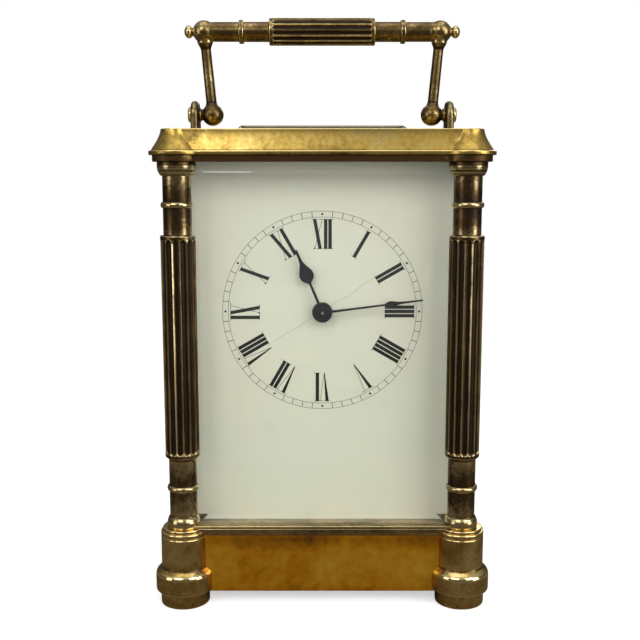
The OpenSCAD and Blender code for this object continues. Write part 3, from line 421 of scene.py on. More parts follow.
gilt_metal = plain_metal("frosted_gilt_brass", (0.70, 0.49, 0.17), (0.95, 0.74, 0.34), (0.34, 0.5),
                         (2600, 2600, 2600), bump=0.3)
polished_steel = plain_metal("polished_steel", (0.45, 0.45, 0.46), (0.72, 0.72, 0.72), (0.12, 0.26),
                             (700, 700, 700))
plain_steel = plain_metal("dull_steel", (0.22, 0.21, 0.20), (0.42, 0.40, 0.37), (0.28, 0.45),
                          (800, 800, 800))
spring_steel = plain_metal("blue_grey_spring_steel", (0.13, 0.15, 0.19), (0.30, 0.33, 0.40), (0.2, 0.35),
                           (400, 400, 2000))
blued_steel = plain_metal("blued_steel", (0.010, 0.016, 0.06), (0.03, 0.05, 0.17), (0.16, 0.28),
                          (900, 900, 900))
hand_steel = plain_metal("black_blued_steel", (0.010, 0.010, 0.012), (0.03, 0.03, 0.034), (0.22, 0.38),
                         (1200, 1200, 1200))
enamel = enamel_material()
numeral_paint = black_paint("fired_black_enamel", (0.012, 0.012, 0.010), 0.3)
track_paint = black_paint("worn_grey_enamel", (0.16, 0.16, 0.13), 0.4)
clear_glass = glass_material("clear_bevelled_glass", (0.97, 0.985, 0.975))
thick_glass = glass_material("thick_olive_glass", (0.60, 0.61, 0.42))


# ---- Pedestals ----

FOOT_R = RING_R - 1.4
FOOT_H = BASE_Z + 0.5
DRUM_R = RING_R - 1.8


def pedestal_shape():
    ring_top = 10.2
    groove = PEDESTAL_TOP - 1.5
    profile = rounded([
        [0, 3.0, 0], [3.65, 3.0, 0], [3.65, 0, 0.2], [FOOT_R, 0, 0.45], [FOOT_R, FOOT_H, 0.12],
        [RING_R, FOOT_H, 0.7], [RING_R, ring_top, 1.0], [DRUM_R, 11.7, 0.5], [DRUM_R, groove - 0.25, 0.15],
        [DRUM_R - 0.3, groove, 0.12], [DRUM_R, groove + 0.25, 0.15], [DRUM_R, PEDESTAL_TOP, 0.4],
        [DRUM_R - 1.2, PEDESTAL_TOP, 0], [0, PEDESTAL_TOP, 0]])
    return turned(profile)


# ---- Columns ----

FLUTES = 14
SHAFT_R = 4.15
FLUTED_R = 5.15
FLUTED_Z = [45.6, 111.9]
BEAD_Z = [36.15, 120.7]


def fluting(outer_r, low, high, width, depth, phase, ridge_wear=0.95, hollow_wear=0.05):
    """A carve function that sinks round-ended flutes between two heights."""
    pitch = 2 * math.pi / FLUTES

    def carve(angle, height, radius, wear_and_shade):
        if height < low or height > high:
            return radius, wear_and_shade
        across = ((angle / pitch - phase + 0.5) % 1 - 0.5) * pitch * outer_r
        past_end = max(low + width / 2 - height, height - high + width / 2, 0)
        share = math.hypot(across, past_end) / (width / 2)
        if share >= 1:
            return radius, ridge_wear
        sunk = depth * math.sqrt(1 - share * share)
        return radius - sunk, ridge_wear + (hollow_wear - ridge_wear) * min(1, 2.2 * (1 - share))

    return carve


def fine_ends(low, high, radius, reach=1.6, step=0.16):
    """Profile points close together where flutes end, and far apart in between."""
    count = round(reach / step)
    made = [(radius, low + step * k, 0.5) for k in range(count + 1)]
    made += [(radius, low + reach + (high - low - 2 * reach) * k / 6, 0.5) for k in range(1, 6)]
    made += [(radius, high - reach + step * k, 0.5) for k in range(count + 1)]
    return made


def bead(height, radius, proud, half):
    return [(radius + proud * math.cos(math.radians(a)), height + half * math.sin(math.radians(a)),
             0.15 + 0.85 * math.cos(math.radians(a))) for a in range(-90, 91, 15)]


# The plain shafts are more rubbed than the fluted middle
LOWER_SHAFT_WEAR = 0.28
UPPER_SHAFT_WEAR = 0.18


def column_shape():
    foot = rounded([[0, COLUMN_Z, 0], [5.0, COLUMN_Z, 0.25], [5.0, COLUMN_Z + 1.9, 0.8],
                    [4.6, COLUMN_Z + 2.9, 0.5], [SHAFT_R + 0.05, COLUMN_Z + 3.4, 0.2],
                    [SHAFT_R, COLUMN_Z + 3.7, 0.1], [SHAFT_R, COLUMN_Z + 5, 0]])
    shoulder = rounded([[SHAFT_R, FLUTED_Z[0] - 1.2, 0], [SHAFT_R, FLUTED_Z[0] - 0.5, 0.2],
                        [FLUTED_R, FLUTED_Z[0] + 0.3, 0.35], [FLUTED_R, FLUTED_Z[0] + 0.8, 0]])
    neck = rounded([[FLUTED_R, FLUTED_Z[1] - 0.8, 0], [FLUTED_R, FLUTED_Z[1], 0.3],
                    [SHAFT_R, FLUTED_Z[1] + 0.1, 0.2], [SHAFT_R, FLUTED_Z[1] + 1.5, 0]])
    top = CORNICE_Z
    capital = rounded([[SHAFT_R, top - 6, 0], [SHAFT_R, top - 3.98, 0.1], [4.6, top - 3.96, 0.15],
                       [5.2, top - 3.1, 0.7], [5.5, top - 2.1, 0.7], [5.6, top - 1.4, 0.5],
                       [5.6, top, 0.1], [0, top, 0]])
    fluted = fine_ends(FLUTED_Z[0] + 1.0, FLUTED_Z[1] - 0.9, FLUTED_R)
    profile = foot + bead(BEAD_Z[0], SHAFT_R, 0.65, 0.9) + shoulder + fluted + neck
    profile += bead(BEAD_Z[1], SHAFT_R, 0.65, 0.9) + capital
    cleaned = []
    for radius, height, wear_and_shade in profile:
        if radius < FLUTED_R and height < FLUTED_Z[0]:
            wear_and_shade += LOWER_SHAFT_WEAR
        elif radius < FLUTED_R and height > FLUTED_Z[1]:
            wear_and_shade += UPPER_SHAFT_WEAR
        cleaned.append((radius, height, wear_and_shade))
    carve = fluting(FLUTED_R, FLUTED_Z[0] + 1.2, FLUTED_Z[1] - 1.1, 2.05, 0.66, 0.5)
    return turned(cleaned, FLUTES * 14, carve)


for row, sy in (("front", -1), ("rear", 1)):
    for hand, sx in (("left", -1), ("right", 1)):
        spot = at(sx * COLUMN_X, sy * COLUMN_Y, 0)
        name = f"{row}_{hand}"
        piece(f"turned_pedestal_{name}", [placed(pedestal_shape(), spot)], pedestal_metal, "case",
              [f"pedestal_{name}"])
        piece(f"turned_column_{name}", [placed(column_shape(), spot)], columns_metal, "case",
              [f"column_{name}"])


# ---- Base ----

RUN_STEPS = 24


def base_loop(out, height, wear_and_shade):
    """The base's outline at one height, with its corners cut off under the columns."""
    x, y = COLUMN_X, COLUMN_Y
    corners = [(-x, -y - out), (x, -y - out), (x + out, -y), (x + out, y),
               (x, y + out), (-x, y + out), (-x - out, y), (-x - out, -y)]
    made = []
    for i, start in enumerate(corners):
        end = corners[(i + 1) % len(corners)]
        steps = RUN_STEPS if i % 2 == 0 else 1
        for k in range(steps):
            share = k / steps
            # Painted shade: each long run darkens towards its ends beside the pedestals, and the short cut
            # corners under the columns are dark as well; worn carries this shade along with the wear
            near_end = min(share, 1 - share) * 12 if i % 2 == 0 else 0
            worn = wear_and_shade * min(1, 0.35 + 0.65 * near_end)
            made.append((start[0] + (end[0] - start[0]) * share, start[1] + (end[1] - start[1]) * share,
                         height, worn))
    return made


def base_rings(profile):
    """Rings for a base profile, with extra ones up a tall face, so that painted shade can darken it upwards,
    under the moulding.
    """
    rings = []
    for i, (out, height, wear_and_shade) in enumerate(profile):
        rings.append(base_loop(out, height, wear_and_shade))
        following = profile[i + 1] if i + 1 < len(profile) else None
        if following and following[1] - height > 8:
            for k in range(1, 12):
                level = height + (following[1] - height) * k / 12
                # Painted shade: the top quarter of a tall face darkens towards the moulding that overhangs
                # it
                rings.append(base_loop(out, level, 0.6 - 0.35 * max(0, (k - 8) / 4)))
    return rings


def closed_base(profile):
    low = [(0, 0, profile[0][1], 0.3)]
    high = [(0, 0, profile[-1][1], 0.4)]
    return skin([low] + base_rings(profile) + [high])


PANEL_TOP = SILL_Z - 3.05
STEP_Z = SILL_Z - 2.25
panel_profile = rounded([[-0.1, SILL_Z - 3.35, 0], [-0.1, BASE_Z, 0], [2.4, BASE_Z, 0.15],
                         [2.4, PANEL_TOP + 0.1, 0], [1.5, PANEL_TOP + 0.1, 0]])
moulding_profile = rounded([[2.0, PANEL_TOP, 0], [3.0, PANEL_TOP, 0.12], [3.0, STEP_Z, 0.15],
                            [3.7, STEP_Z, 0.25], [3.7, SILL_Z - 0.9, 0.1], [3.45, SILL_Z - 0.75, 0.1],
                            [3.7, SILL_Z - 0.55, 0.1], [3.7, SILL_Z, 0.3], [0.5, SILL_Z, 0]])
ear_profile = rounded([[0, PEDESTAL_TOP, 0], [EAR_R, PEDESTAL_TOP, 0.1], [EAR_R, COLUMN_Z, 0.3],
                       [4.0, COLUMN_Z, 0], [0, COLUMN_Z, 0]])
ears = []
for sx in (-1, 1):
    for sy in (-1, 1):
        ears.append(placed(turned(ear_profile, 96), at(sx * COLUMN_X, sy * COLUMN_Y, 0)))
piece("base_panels", [closed_base(panel_profile)], base_metal, "case", ["base_plinth"])
piece("base_moulding", [closed_base(moulding_profile)], moulding_metal, "case")
piece("base_ears", ears, pedestal_metal, "case")


# ---- Cornice ----

CORNER_STEPS = 18
# How far the cornice stands outside the column axes, and its radius about them at the corners
CORNICE_OUTS = [3.5, 4.6, 5.25]
CORNER_RS = [4.3, 6.9, 7.9]
CAVITY = [39.5, 31.0]


def corner_radius(out):
    if out < CORNICE_OUTS[0]:
        return CORNER_RS[0] + out - CORNICE_OUTS[0]
    low = 0 if out < CORNICE_OUTS[1] else 1
    share = (out - CORNICE_OUTS[low]) / (CORNICE_OUTS[low + 1] - CORNICE_OUTS[low])
    return CORNER_RS[low] + (CORNER_RS[low + 1] - CORNER_RS[low]) * share


def four_corners(quarter, height, wear_and_shade):
    """A closed loop, anticlockwise from above, from one corner's points in x > 0, y > 0.

    The quarter goes from the front run to the side run.
    """
    corners = []
    for sx, sy in ((1, -1), (1, 1), (-1, 1), (-1, -1)):
        points = quarter if sx * sy < 0 else quarter[::-1]
        corners.append([(sx * x, sy * y, height, wear_and_shade) for x, y in points])
    loop = []
    for i, corner in enumerate(corners):
        loop.extend(corner)
        start = corner[-1]
        end = corners[(i + 1) % 4][0]
        for k in range(1, RUN_STEPS):
            loop.append(tuple(a + (b - a) * k / RUN_STEPS for a, b in zip(start, end)))
    return loop


# Painted shade: the round ears at the corners are darkened against the straight runs
EAR_RADIUS = 8.0
EAR_FADE = 3
EAR_SHADE = 0.74


def ear_shade(x, y, height, wear_and_shade):
    """A point of the cornice, with painted shade making the round ears darker than the straight runs."""
    from_column = math.hypot(abs(x) - COLUMN_X, abs(y) - COLUMN_Y)
    share = min(1, max(0, from_column - EAR_RADIUS) / EAR_FADE)
    return x, y, height, wear_and_shade * (EAR_SHADE + (1 - EAR_SHADE) * share)


def cornice_loop(out, height, wear_and_shade):
    """The cornice's outline: straight runs, with a round ear at each corner."""
    radius = corner_radius(out)
    reach = math.sqrt(radius * radius - out * out)
    first = math.atan2(out, -reach)
    last = math.atan2(-reach, out)
    quarter = []
    for k in range(CORNER_STEPS + 1):
        angle = first + (last - first) * k / CORNER_STEPS
        quarter.append((COLUMN_X + radius * math.cos(angle), COLUMN_Y + radius * math.sin(angle)))
    return [ear_shade(*point) for point in four_corners(quarter, height, wear_and_shade)]


def window_loop(half, radius, height, wear_and_shade):
    """A rectangle with rounded corners."""
    quarter = []
    for k in range(CORNER_STEPS + 1):
        angle = math.pi / 2 * (1 - k / CORNER_STEPS)
        quarter.append((half[0] - radius + radius * math.cos(angle),
                        half[1] - radius + radius * math.sin(angle)))
    return four_corners(quarter, height, wear_and_shade)


def cornice_shape():
    top = CORNICE_TOP
    lip = [CORNICE_Z + 1.9, CORNICE_Z + 3.05]
    outs = CORNICE_OUTS
    start = lip[1] + 0.2
    hollow = []
    for k in range(1, 9):
        t = k / 8.25
        out = outs[0] + (outs[2] - 0.5 - outs[0]) * (1 - t) ** 1.4
        hollow.append([out, start + t * (top - 0.5 - start), 0])
    outer = rounded([[outs[1] - 1, CORNICE_Z, 0], [outs[1], CORNICE_Z, 0.2], [outs[1], lip[0], 0.2],
                     [outs[2], lip[0], 0.25], [outs[2], lip[1], 0.4], [outs[2] - 0.5, start, 0.12]] + hollow
                    + [[outs[0], top, 0.35], [outs[0] - 0.8, top, 0]])
    # Painted shade: the band under the lip and the foot of the lip are held dark, as shade cast by the lip
    shaded_under_lip = []
    for out, height, wear_and_shade in outer:
        if height < lip[0] + 0.02:
            wear_and_shade = min(wear_and_shade, 0.08)
        elif height < lip[1] - 0.35:
            wear_and_shade = min(wear_and_shade, 0.34)
        shaded_under_lip.append((out, height, wear_and_shade))
    outer = shaded_under_lip
    rings = [cornice_loop(*level) for level in outer]
    inner = [(4.5, 1.0, top, 0.5), (0.3, 0.5, top, 0.6), (0, 0.4, top - 0.3, 0.7), (0, 0.4, top - 2, 0.2),
             (-1, 0.4, top - 2, 0.3), (-1, 0.4, top - 3.8, 0.3)]
    for proud, radius, height, wear_and_shade in inner:
        half = [WINDOW[0] + proud, WINDOW[1] + proud]
        rings.append(window_loop(half, radius, height, wear_and_shade))
    rings.append(window_loop(CAVITY, 1.0, top - 3.8, 0.2))
    rings.append(window_loop(CAVITY, 1.0, CORNICE_Z, 0.3))
    return skin(rings, closed=True)


piece("moulded_cornice", [cornice_shape()], cornice_metal, "case", ["cornice_frame"])


# ---- Handle ----

BALL_X = 35.3
BALL_R = 3.5
KNUCKLE_X = 37.6
KNUCKLE_R = 3.6
BAR_END = 34.4
BAR_R = 3.1
GRIP_HALF = 16.8
GRIP_R = 4.24
FINIAL_SEAT = 40.8
LUG_X = [39.6, 42.1]
LUG_R = 4.4


def arm_shapes(side):
    lean = math.atan2(KNUCKLE_X - BALL_X, GRIP_Z - PIVOT_Z)
    stem_top = GRIP_Z - PIVOT_Z - KNUCKLE_R
    ball = [(r, h, 0.55) for r, h, _ in arc((0, 0), BALL_R, -90, 52, 20)]
    ball[0] = (0, -BALL_R, 0.4)
    stem = rounded([[1.98, 3.05, 0], [1.68, 3.9, 0.4], [1.6, stem_top - 1.5, 0.6],
                    [2.5, stem_top + 0.3, 0.5], [2.5, stem_top + 1.2, 0]])
    upright = at(BALL_X, 0, PIVOT_Z) @ Matrix.Rotation(lean, 4, "Y")
    neck = rounded([[2.7, BALL_X + 1.4, 0], [1.75, BALL_X + 2.9, 0.8], [1.8, LUG_X[0] - 0.7, 0.2],
                    [2.2, LUG_X[0] - 0.6, 0.15], [2.2, LUG_X[0] - 0.15, 0.15], [1.5, LUG_X[0] - 0.15, 0]])
    collar = BAR_R - 0.05
    profile = [(0, BAR_END, 0.5), (collar - 0.1, BAR_END, 0.2), (collar, BAR_END + 0.1, 0.6)]
    start = KNUCKLE_X - math.sqrt(KNUCKLE_R ** 2 - collar ** 2)
    for k in range(25):
        x = start + k * (FINIAL_SEAT - start) / 24
        profile.append((math.sqrt(KNUCKLE_R ** 2 - (x - KNUCKLE_X) ** 2), x, 0.6))
    profile.append((0, FINIAL_SEAT, 0.4))
    flip = mirrored(side)
    return [placed(turned(ball + stem, 64), flip @ upright),
            placed(turned(neck, 64), flip @ at(0, 0, PIVOT_Z) @ ALONG_X),
            placed(turned(profile, 64), flip @ at(0, 0, GRIP_Z) @ ALONG_X)]


def mirrored_profile(half):
    """A profile about its middle, from the points of its far half."""
    return [(radius, -height, wear_and_shade) for radius, height, wear_and_shade in reversed(half)] + half


def bar_shape():
    ring = [25.0, 26.4]
    half = rounded([[GRIP_R, GRIP_HALF - 0.9, 0], [GRIP_R, GRIP_HALF, 0.35], [BAR_R, GRIP_HALF + 0.1, 0.2],
                    [BAR_R, ring[0] - 0.1, 0.1], [3.7, ring[0], 0.35],
                    [3.7, ring[1], 0.35], [BAR_R - 0.05, ring[1] + 0.1, 0.15],
                    [BAR_R - 0.05, BAR_END, 0.1], [0, BAR_END, 0]])
    flutes = [point for point in fine_ends(0, GRIP_HALF - 0.9, GRIP_R) if point[1] > 4 or point[1] == 0]
    half = flutes[1:] + half
    profile = mirrored_profile(half)
    low = 1.1 - GRIP_HALF
    carve = fluting(GRIP_R, low, -low, 1.45, 0.5, 0.0, 0.72, 0.0)
    return turned(profile, FLUTES * 12, carve)


def finial_shape(side):
    seat = rounded([[0, FINIAL_SEAT - 0.3, 0], [1.65, FINIAL_SEAT - 0.3, 0],
                    [1.65, FINIAL_SEAT + 0.15, 0.15], [1.25, FINIAL_SEAT + 0.3, 0.1],
                    [1.25, FINIAL_SEAT + 0.7, 0]])
    knob = []
    middle = FINIAL_X - 1.45
    for a in range(-50, 91, 10):
        swing = math.radians(a)
        knob.append((2.0 * math.cos(swing) if a < 90 else 0, middle + 1.45 * math.sin(swing),
                     0.5 + 0.35 * math.cos(swing)))
    return placed(turned(seat + knob, 48), mirrored(side) @ at(0, 0, GRIP_Z) @ ALONG_X)


def lug_loop(inset, x, wear_and_shade):
    """The lug's outline at one place through its thickness: straight sides under a round head."""
    radius = LUG_R - inset
    made = []
    for k in range(33):
        angle = math.pi * k / 32
        made.append((x, radius * math.cos(angle), PIVOT_Z + radius * math.sin(angle), wear_and_shade))
    for k in range(1, 8):
        made.append((x, -radius, PIVOT_Z + (CORNICE_TOP + 0.5 - PIVOT_Z) * k / 7, wear_and_shade))
    for k in range(7):
        made.append((x, radius, CORNICE_TOP + 0.5 + (PIVOT_Z - CORNICE_TOP - 0.5) * k / 7, wear_and_shade))
    return made


def lug_shapes(side):
    """A lug with bull-nosed edges, on a small foot."""
    edge = 1.05
    rings = [[(LUG_X[0], 0, PIVOT_Z - 1, 0.4)], lug_loop(2.2, LUG_X[0], 0.4)]
    for k in range(7):
        swing = math.pi / 2 * k / 6
        inset = edge * (1 - math.sin(swing))
        rings.append(lug_loop(inset, LUG_X[0] + edge * (1 - math.cos(swing)), 0.45 + 0.05 * k))
    for k in range(7):
        swing = math.pi / 2 * (1 - k / 6)
        inset = edge * (1 - math.sin(swing))
        rings.append(lug_loop(inset, LUG_X[1] - edge * (1 - math.cos(swing)), 0.75 - 0.05 * k))
    rings += [lug_loop(2.2, LUG_X[1], 0.4), [(LUG_X[1], 0, PIVOT_Z - 1, 0.4)]]
    half = [(LUG_X[1] - LUG_X[0]) / 2 + 1, LUG_R + 1.6]
    foot = [[(0, 0, CORNICE_TOP, 0.4)], window_loop(half, 0.8, CORNICE_TOP, 0.2),
            window_loop(half, 0.8, CORNICE_TOP + 0.65, 0.7)]
    foot += [window_loop([half[0] - 0.12, half[1] - 0.12], 0.75, CORNICE_TOP + 0.88, 0.95),
             window_loop([half[0] - 0.35, half[1] - 0.35], 0.6, CORNICE_TOP + 1.0, 0.5),
             [(0, 0, CORNICE_TOP + 1.0, 0.3)]]
    flip = mirrored(side)
    middle = (LUG_X[0] + LUG_X[1]) / 2
    return [placed(skin(rings), flip), placed(skin(foot), flip @ at(middle, 0, 0))]


for hand, side in (("left", -1), ("right", 1)):
    piece(f"rounded_lug_{hand}", lug_shapes(side), lug_metal, "case", [f"handle_lug_{hand}"])
    piece(f"turned_arm_{hand}", arm_shapes(side), handle_metal, "handle",
          [f"handle_arm_{hand}"])
piece("fluted_bar", [placed(bar_shape(), at(0, 0, GRIP_Z) @ ALONG_X)], handle_metal, "handle",
      ["handle_bar"])
piece("round_finials", [finial_shape(-1), finial_shape(1)], handle_metal, "handle",
      ["handle_finials"])


# ---- Marks on the dial, drawn flat and stood up on its face ----

DIAL_PLACE = at(0, DIAL_FACE, HANDS_Z) @ TO_FRONT
NUMERALS = ["XII", "I", "II", "III", "IIII", "V", "VI", "VII", "VIII", "IX", "X", "XI"]
NUMERAL_R = [18.85, 27.75]
TRACK_R = [28.35, 30.1]
BOLD = 1.04
HAIR = 0.13
# Strokes of each letter, as [place at its foot, place at its head, width at foot, width at head]
LETTERS = {
    "I": [[0, 0, BOLD, BOLD]],
    "V": [[0.9, 0, 0.22, BOLD], [0.95, 2.1, HAIR, HAIR]],
    "X": [[1.65, 0, BOLD, BOLD], [0, 2.25, HAIR, HAIR]],
}
LETTER_WIDTH = {"I": 0, "V": 2.1, "X": 2.25}
LETTER_GAP = {"II": 1.3, "VI": 0.9, "XI": 1.05, "IX": 1.4}
MARK_LOW = -0.02
MARK_HIGH = 0.03


def slab(outline, low=MARK_LOW, high=MARK_HIGH):
    """A thin flat piece; the outline goes anticlockwise."""
    count = len(outline)
    points = [(x, y, low, 0.5) for x, y in outline] + [(x, y, high, 0.5) for x, y in outline]
    faces = [list(range(count - 1, -1, -1)), list(range(count, 2 * count))]
    for k in range(count):
        following = (k + 1) % count
        faces.append([k, following, count + following, count + k])
    return points, faces


def stroke(foot, head, foot_width, head_width, low_r, high_r):
    return slab([(foot - foot_width / 2, low_r), (foot + foot_width / 2, low_r),
                 (head + head_width / 2, high_r), (head - head_width / 2, high_r)])


def disc(x, y, radius, steps=16):
    turns = [2 * math.pi * k / steps for k in range(steps)]
    return slab([(x + radius * math.cos(turn), y + radius * math.sin(turn)) for turn in turns])


def numeral(text):
    """One hour's letters, with their feet towards the middle of the dial."""
    low_r, high_r = NUMERAL_R
    starts = [0]
    for first, second in zip(text, text[1:]):
        starts.append(starts[-1] + LETTER_WIDTH[first] + LETTER_GAP[first + second])
    width = starts[-1] + LETTER_WIDTH[text[-1]]
    shapes = []
    for letter, start in zip(text, starts):
        left = start - width / 2
        for foot, head, foot_width, head_width in LETTERS[letter]:
            shapes.append(stroke(left + foot, left + head, foot_width, head_width, low_r, high_r))
            serifs = [[left + head, high_r - HAIR]]
            if foot_width == BOLD:
                serifs.append([left + foot, low_r])
            for middle, bottom in serifs:
                shapes.append(stroke(middle, middle, BOLD * 2, BOLD * 2, bottom, bottom + HAIR))
        if letter == "X":
            shapes.append(disc(left, low_r + 0.2, 0.27))
    return shapes


def clockwise(degrees):
    return DIAL_PLACE @ Matrix.Rotation(-math.radians(degrees), 4, "Z")


def track_ring(radius):
    profile = [(radius - HAIR / 2, MARK_LOW, 0.5), (radius + HAIR / 2, MARK_LOW, 0.5),
               (radius + HAIR / 2, MARK_HIGH, 0.5), (radius - HAIR / 2, MARK_HIGH, 0.5)]
    points, faces = turned(profile, 180)
    count = 180
    faces = faces + [[3 * count + k, 3 * count + (k + 1) % count, (k + 1) % count, k] for k in range(count)]
    return points, faces


hours = []
for i, text in enumerate(NUMERALS):
    hours += [placed(shape, clockwise(30 * i)) for shape in numeral(text)]
track = [placed(track_ring(radius), DIAL_PLACE) for radius in TRACK_R]
dots = []
for minute in range(60):
    if minute % 5 == 0:
        dots.append(placed(disc(0, sum(TRACK_R) / 2, 0.34), clockwise(6 * minute)))
    else:
        track.append(placed(stroke(0, 0, 0.22, 0.22, *TRACK_R), clockwise(6 * minute)))
piece("dial_numerals", hours + dots, numeral_paint, "case")
piece("dial_minute_track", track, track_paint, "case")


# ---- Hands ----

HOUR_ANGLE = 337
MINUTE_ANGLE = 82.8


def smoothed(stations, steps=5):
    """Points on a smooth curve through the stations."""
    made = []
    for i in range(len(stations) - 1):
        four = [stations[max(i - 1, 0)], stations[i], stations[i + 1],
                stations[min(i + 2, len(stations) - 1)]]
        for k in range(steps):
            t = k / steps
            made.append(tuple(
                0.5 * (2 * b + (c - a) * t + (2 * a - 5 * b + 4 * c - d) * t * t
                       + (3 * b - a - 3 * c + d) * t ** 3)
                for a, b, c, d in zip(*four)))
    return made + [tuple(stations[-1])]


def hand_blade(stations, thick):
    """A hand's blade from [distance along it, half width], with its front edges rounded over."""
    rings = []
    for along, half in smoothed(stations):
        edge = min(0.18, half * 0.5)
        section = [(-half, 0), (-half, thick - edge), (edge - half, thick), (0, thick), (half - edge, thick),
                   (half, thick - edge), (half, 0)]
        rings.append([(across, along, height, 0.5) for across, height in section])
    first = [(0, stations[0][0], thick / 2, 0.5)]
    last = [(0, stations[-1][0] + 0.05, thick / 2, 0.5)]
    return skin([first] + rings + [last])


def boss(radius, bore, thick):
    profile = rounded([[bore, 0, 0], [radius, 0, 0.05], [radius, thick, 0.18], [radius * 0.72, thick, 0.05],
                       [radius * 0.69, thick - 0.14, 0.03], [radius * 0.62, thick - 0.14, 0.03],
                       [radius * 0.59, thick, 0.05], [bore, thick, 0]])
    return turned(profile, 72)


def hand_place(y_range, degrees):
    return at(0, y_range[1].y, HANDS_Z) @ TO_FRONT @ Matrix.Rotation(-math.radians(degrees), 4, "Z")


HOUR_BLADE = [[2.4, 0.42], [8.8, 0.36], [9.5, 0.5], [10.3, 1.4], [11.2, 2.0], [12.2, 2.14], [13.2, 1.92],
              [14.3, 1.34], [15.5, 0.78], [16.8, 0.46], [18.6, 0.40], [20.2, 0.36]]
MINUTE_BLADE = [[2.4, 0.36], [18.2, 0.27], [18.9, 0.36], [19.6, 0.74], [20.4, 0.9], [21.4, 0.78],
                [22.8, 0.48], [24.6, 0.32], [30.3, 0.2]]
hour_thick = HOUR_HAND_Y[1].y - HOUR_HAND_Y[0].y
minute_thick = MINUTE_HAND_Y[1].y - MINUTE_HAND_Y[0].y
hour_place = hand_place(HOUR_HAND_Y, HOUR_ANGLE)
minute_place = hand_place(MINUTE_HAND_Y, MINUTE_ANGLE)
piece("drop_hour_hand", [placed(hand_blade(HOUR_BLADE, hour_thick), hour_place),
                         placed(boss(3.05, 2.0, hour_thick), hour_place)],
      hand_steel, "hour_work", ["hour_hand"])
piece("drop_minute_hand", [placed(hand_blade(MINUTE_BLADE, minute_thick), minute_place),
                           placed(boss(2.95, 1.2, minute_thick), minute_place)],
      hand_steel, "minute_work", ["minute_hand"])

collet_profile = rounded([[0.5, 0, 0], [1.6, 0, 0], [1.6, 0.4, 0.15], [1.35, 0.62, 0.1], [1.22, 0.62, 0.03],
                          [1.18, 0.7, 0.03], [1.02, 0.98, 0.15], [0.5, 1.08, 0.05], [0, 1.1, 0]])
pin_profile = rounded([[0.36, 0.9, 0], [0.36, 1.16, 0.06], [0.25, 1.28, 0.08], [0, 1.3, 0]])
collet_place = at(0, edges("hand_collet")[1].y, HANDS_Z) @ TO_FRONT
piece("domed_hand_collet", [placed(turned(collet_profile, 48), collet_place)], hand_steel, "minute_work",
      ["hand_collet"])
piece("bright_hand_pin", [placed(turned(pin_profile, 32), collet_place)], polished_steel, "minute_work")


# ---- CAD nodes that stay: better materials, and softened edges on the larger ones ----

SLOT_MATERIALS = {
    "column_brass": columns_metal,
    "pedestal_brass": pedestal_metal,
    "base_brass": base_metal,
    "cornice_brass": door_metal,
    "handle_brass": fitting_metal,
    "clear_glass": clear_glass,
    "enamel": enamel,
    "blued_steel": blued_steel,
    "polished_steel": polished_steel,
    "plate_brass": plate_metal,
    "gilt_brass": gilt_metal,
    "wheel_brass": wheel_metal,
    "spring_steel": spring_steel,
    "plain_steel": plain_steel,
}
SOFTENED = {
    "handle_pivot_screws": 0.2, "door_frame": 0.25,
    "door_knob": 0.15, "front_plate": 0.12, "back_plate": 0.12, "platform_plate": 0.1, "barrel_cover": 0.1,
    "click": 0.08, "lever_cock": 0.08, "balance_cock": 0.08, "dial": 0.08,
}
for name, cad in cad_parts.items():
    for index, material in enumerate(cad.data.materials):
        cad.data.materials[index] = SLOT_MATERIALS[material.name.split(".")[0]]
    if name == "top_glass":
        cad.data.materials[0] = thick_glass
    if name in SOFTENED:
        cad.modifiers.new("joined", "WELD").merge_threshold = 0.002 * MM
        soft = cad.modifiers.new("soft edges", "BEVEL")
        soft.width = SOFTENED[name] * MM
        soft.segments = 2
        soft.limit_method = "ANGLE"
        soft.angle_limit = math.radians(40)
        soft.harden_normals = False
        cad.modifiers.new("even shading", "WEIGHTED_NORMAL").keep_sharp = True


# ---- Stage: a pale floor that fades out, soft lamps and the camera ----

FLOOR_R = 1.6


def floor_material():
    material, tree, shader = start_material("pale_floor")
    where = place(tree)
    speck = noise(tree, where, 30, 3)
    pale = blended(tree, speck, (0.86, 0.86, 0.85), (0.90, 0.90, 0.89))
    seen = node(tree, "ShaderNodeLightPath").outputs["Is Camera Ray"]
    tree.links.new(blended(tree, seen, (0.16, 0.14, 0.11), pale), shader.inputs["Base Color"])
    tree.links.new(sums(tree, "MULTIPLY", seen, 0.55), shader.inputs["Emission Strength"])
    shader.inputs["Emission Color"].default_value = (1, 1, 1, 1)
    shader.inputs["Roughness"].default_value = 0.9
    shader.inputs["Specular IOR Level"].default_value = 0.1
    far = node(tree, "ShaderNodeVectorMath", [(0, where)], operation="LENGTH").outputs["Value"]
    fade = spread(tree, far, 0.16, 0.7)
    clear = node(tree, "ShaderNodeBsdfTransparent")
    mixed = node(tree, "ShaderNodeMixShader", [(0, fade), (1, shader.outputs[0]), (2, clear.outputs[0])])
    tree.links.new(mixed.outputs[0], tree.nodes["Material Output"].inputs["Surface"])
    return material


floor = mesh_object("floor", [slab([(FLOOR_R / MM * math.cos(2 * math.pi * k / 96),
                                     FLOOR_R / MM * math.sin(2 * math.pi * k / 96)) for k in range(96)],
                                   -2, -0.02)], floor_material())


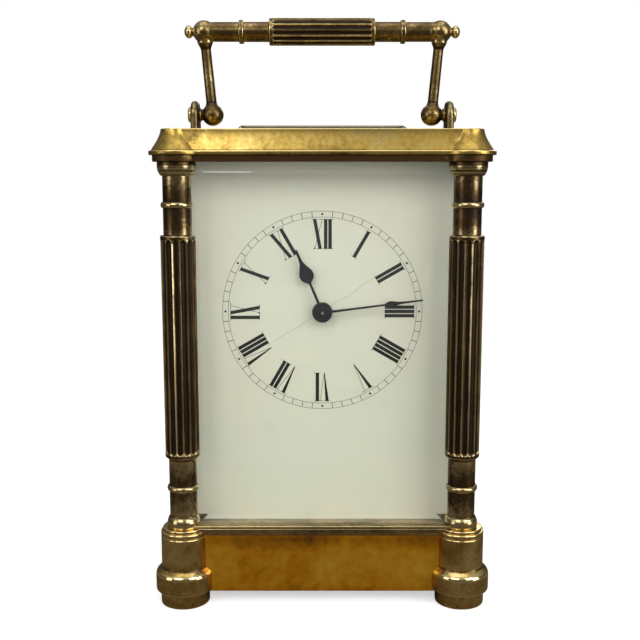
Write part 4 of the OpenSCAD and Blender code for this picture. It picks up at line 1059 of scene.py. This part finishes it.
def make_world():
    """White to the camera; for the light, bright above and dim towards the horizon."""
    world = bpy.data.worlds.new("studio")
    bpy.context.scene.world = world
    world.use_nodes = True
    tree = world.node_tree
    tree.nodes.clear()
    direction = node(tree, "ShaderNodeTexCoord").outputs["Generated"]
    height = node(tree, "ShaderNodeSeparateXYZ", [("Vector", direction)]).outputs["Z"]
    glow = colours(tree, spread(tree, height, -0.2, 1.0), [
        (0.0, (0.16, 0.14, 0.12)), (0.17, (0.05, 0.045, 0.04)), (0.45, (0.14, 0.135, 0.13)),
        (1.0, (0.60, 0.60, 0.60))])
    light = node(tree, "ShaderNodeBackground", [("Color", glow), ("Strength", 1.0)])
    white = node(tree, "ShaderNodeBackground", [("Color", (1, 1, 1, 1)), ("Strength", 1.0)])
    path = node(tree, "ShaderNodeLightPath")
    through = sums(tree, "MULTIPLY", path.outputs["Is Transmission Ray"], 0.6)
    seen = sums(tree, "MAXIMUM", path.outputs["Is Camera Ray"], through)
    mixed = node(tree, "ShaderNodeMixShader", [(0, seen), (1, light.outputs[0]), (2, white.outputs[0])])
    output = node(tree, "ShaderNodeOutputWorld")
    tree.links.new(mixed.outputs[0], output.inputs["Surface"])


def softbox(name, spot, size, power, colour=(1, 1, 1)):
    lamp = bpy.data.lights.new(name, "AREA")
    lamp.shape = "RECTANGLE"
    lamp.size, lamp.size_y = size
    lamp.energy = power
    lamp.color = colour
    made = bpy.data.objects.new(name, lamp)
    made.location = spot
    made.rotation_euler = (Vector((0, 0, 0.09)) - Vector(spot)).to_track_quat("-Z", "Y").to_euler()
    bpy.context.scene.collection.objects.link(made)


make_world()
softbox("key", (0.50, -0.65, 0.50), (0.45, 0.50), 2.3)
softbox("front fill", (-0.35, -0.80, 0.62), (0.50, 0.40), 2.3)
softbox("left side", (-0.62, -0.40, 0.16), (0.26, 0.55), 0.8)
softbox("right side", (0.66, -0.40, 0.16), (0.30, 0.60), 1.9)
softbox("overhead", (0.0, -0.10, 0.85), (0.70, 0.55), 1.3)
softbox("back", (0.15, 0.75, 0.45), (0.60, 0.30), 1.2)

# The photograph's viewpoint: a little above the clock's middle, looking slightly down
CAMERA_AT = (-0.0007, -0.310, 0.128)
CAMERA_DOWN_DEGREES = 8.5
camera = bpy.data.objects.new("camera", bpy.data.cameras.new("camera"))
camera.data.lens = 52.9
camera.data.sensor_width = 36
camera.data.clip_start = 0.01
camera.location = CAMERA_AT
camera.rotation_euler = (math.radians(90 - CAMERA_DOWN_DEGREES), 0, 0)
bpy.context.scene.collection.objects.link(camera)
bpy.context.scene.camera = camera
bpy.context.scene.view_settings.view_transform = "Standard"
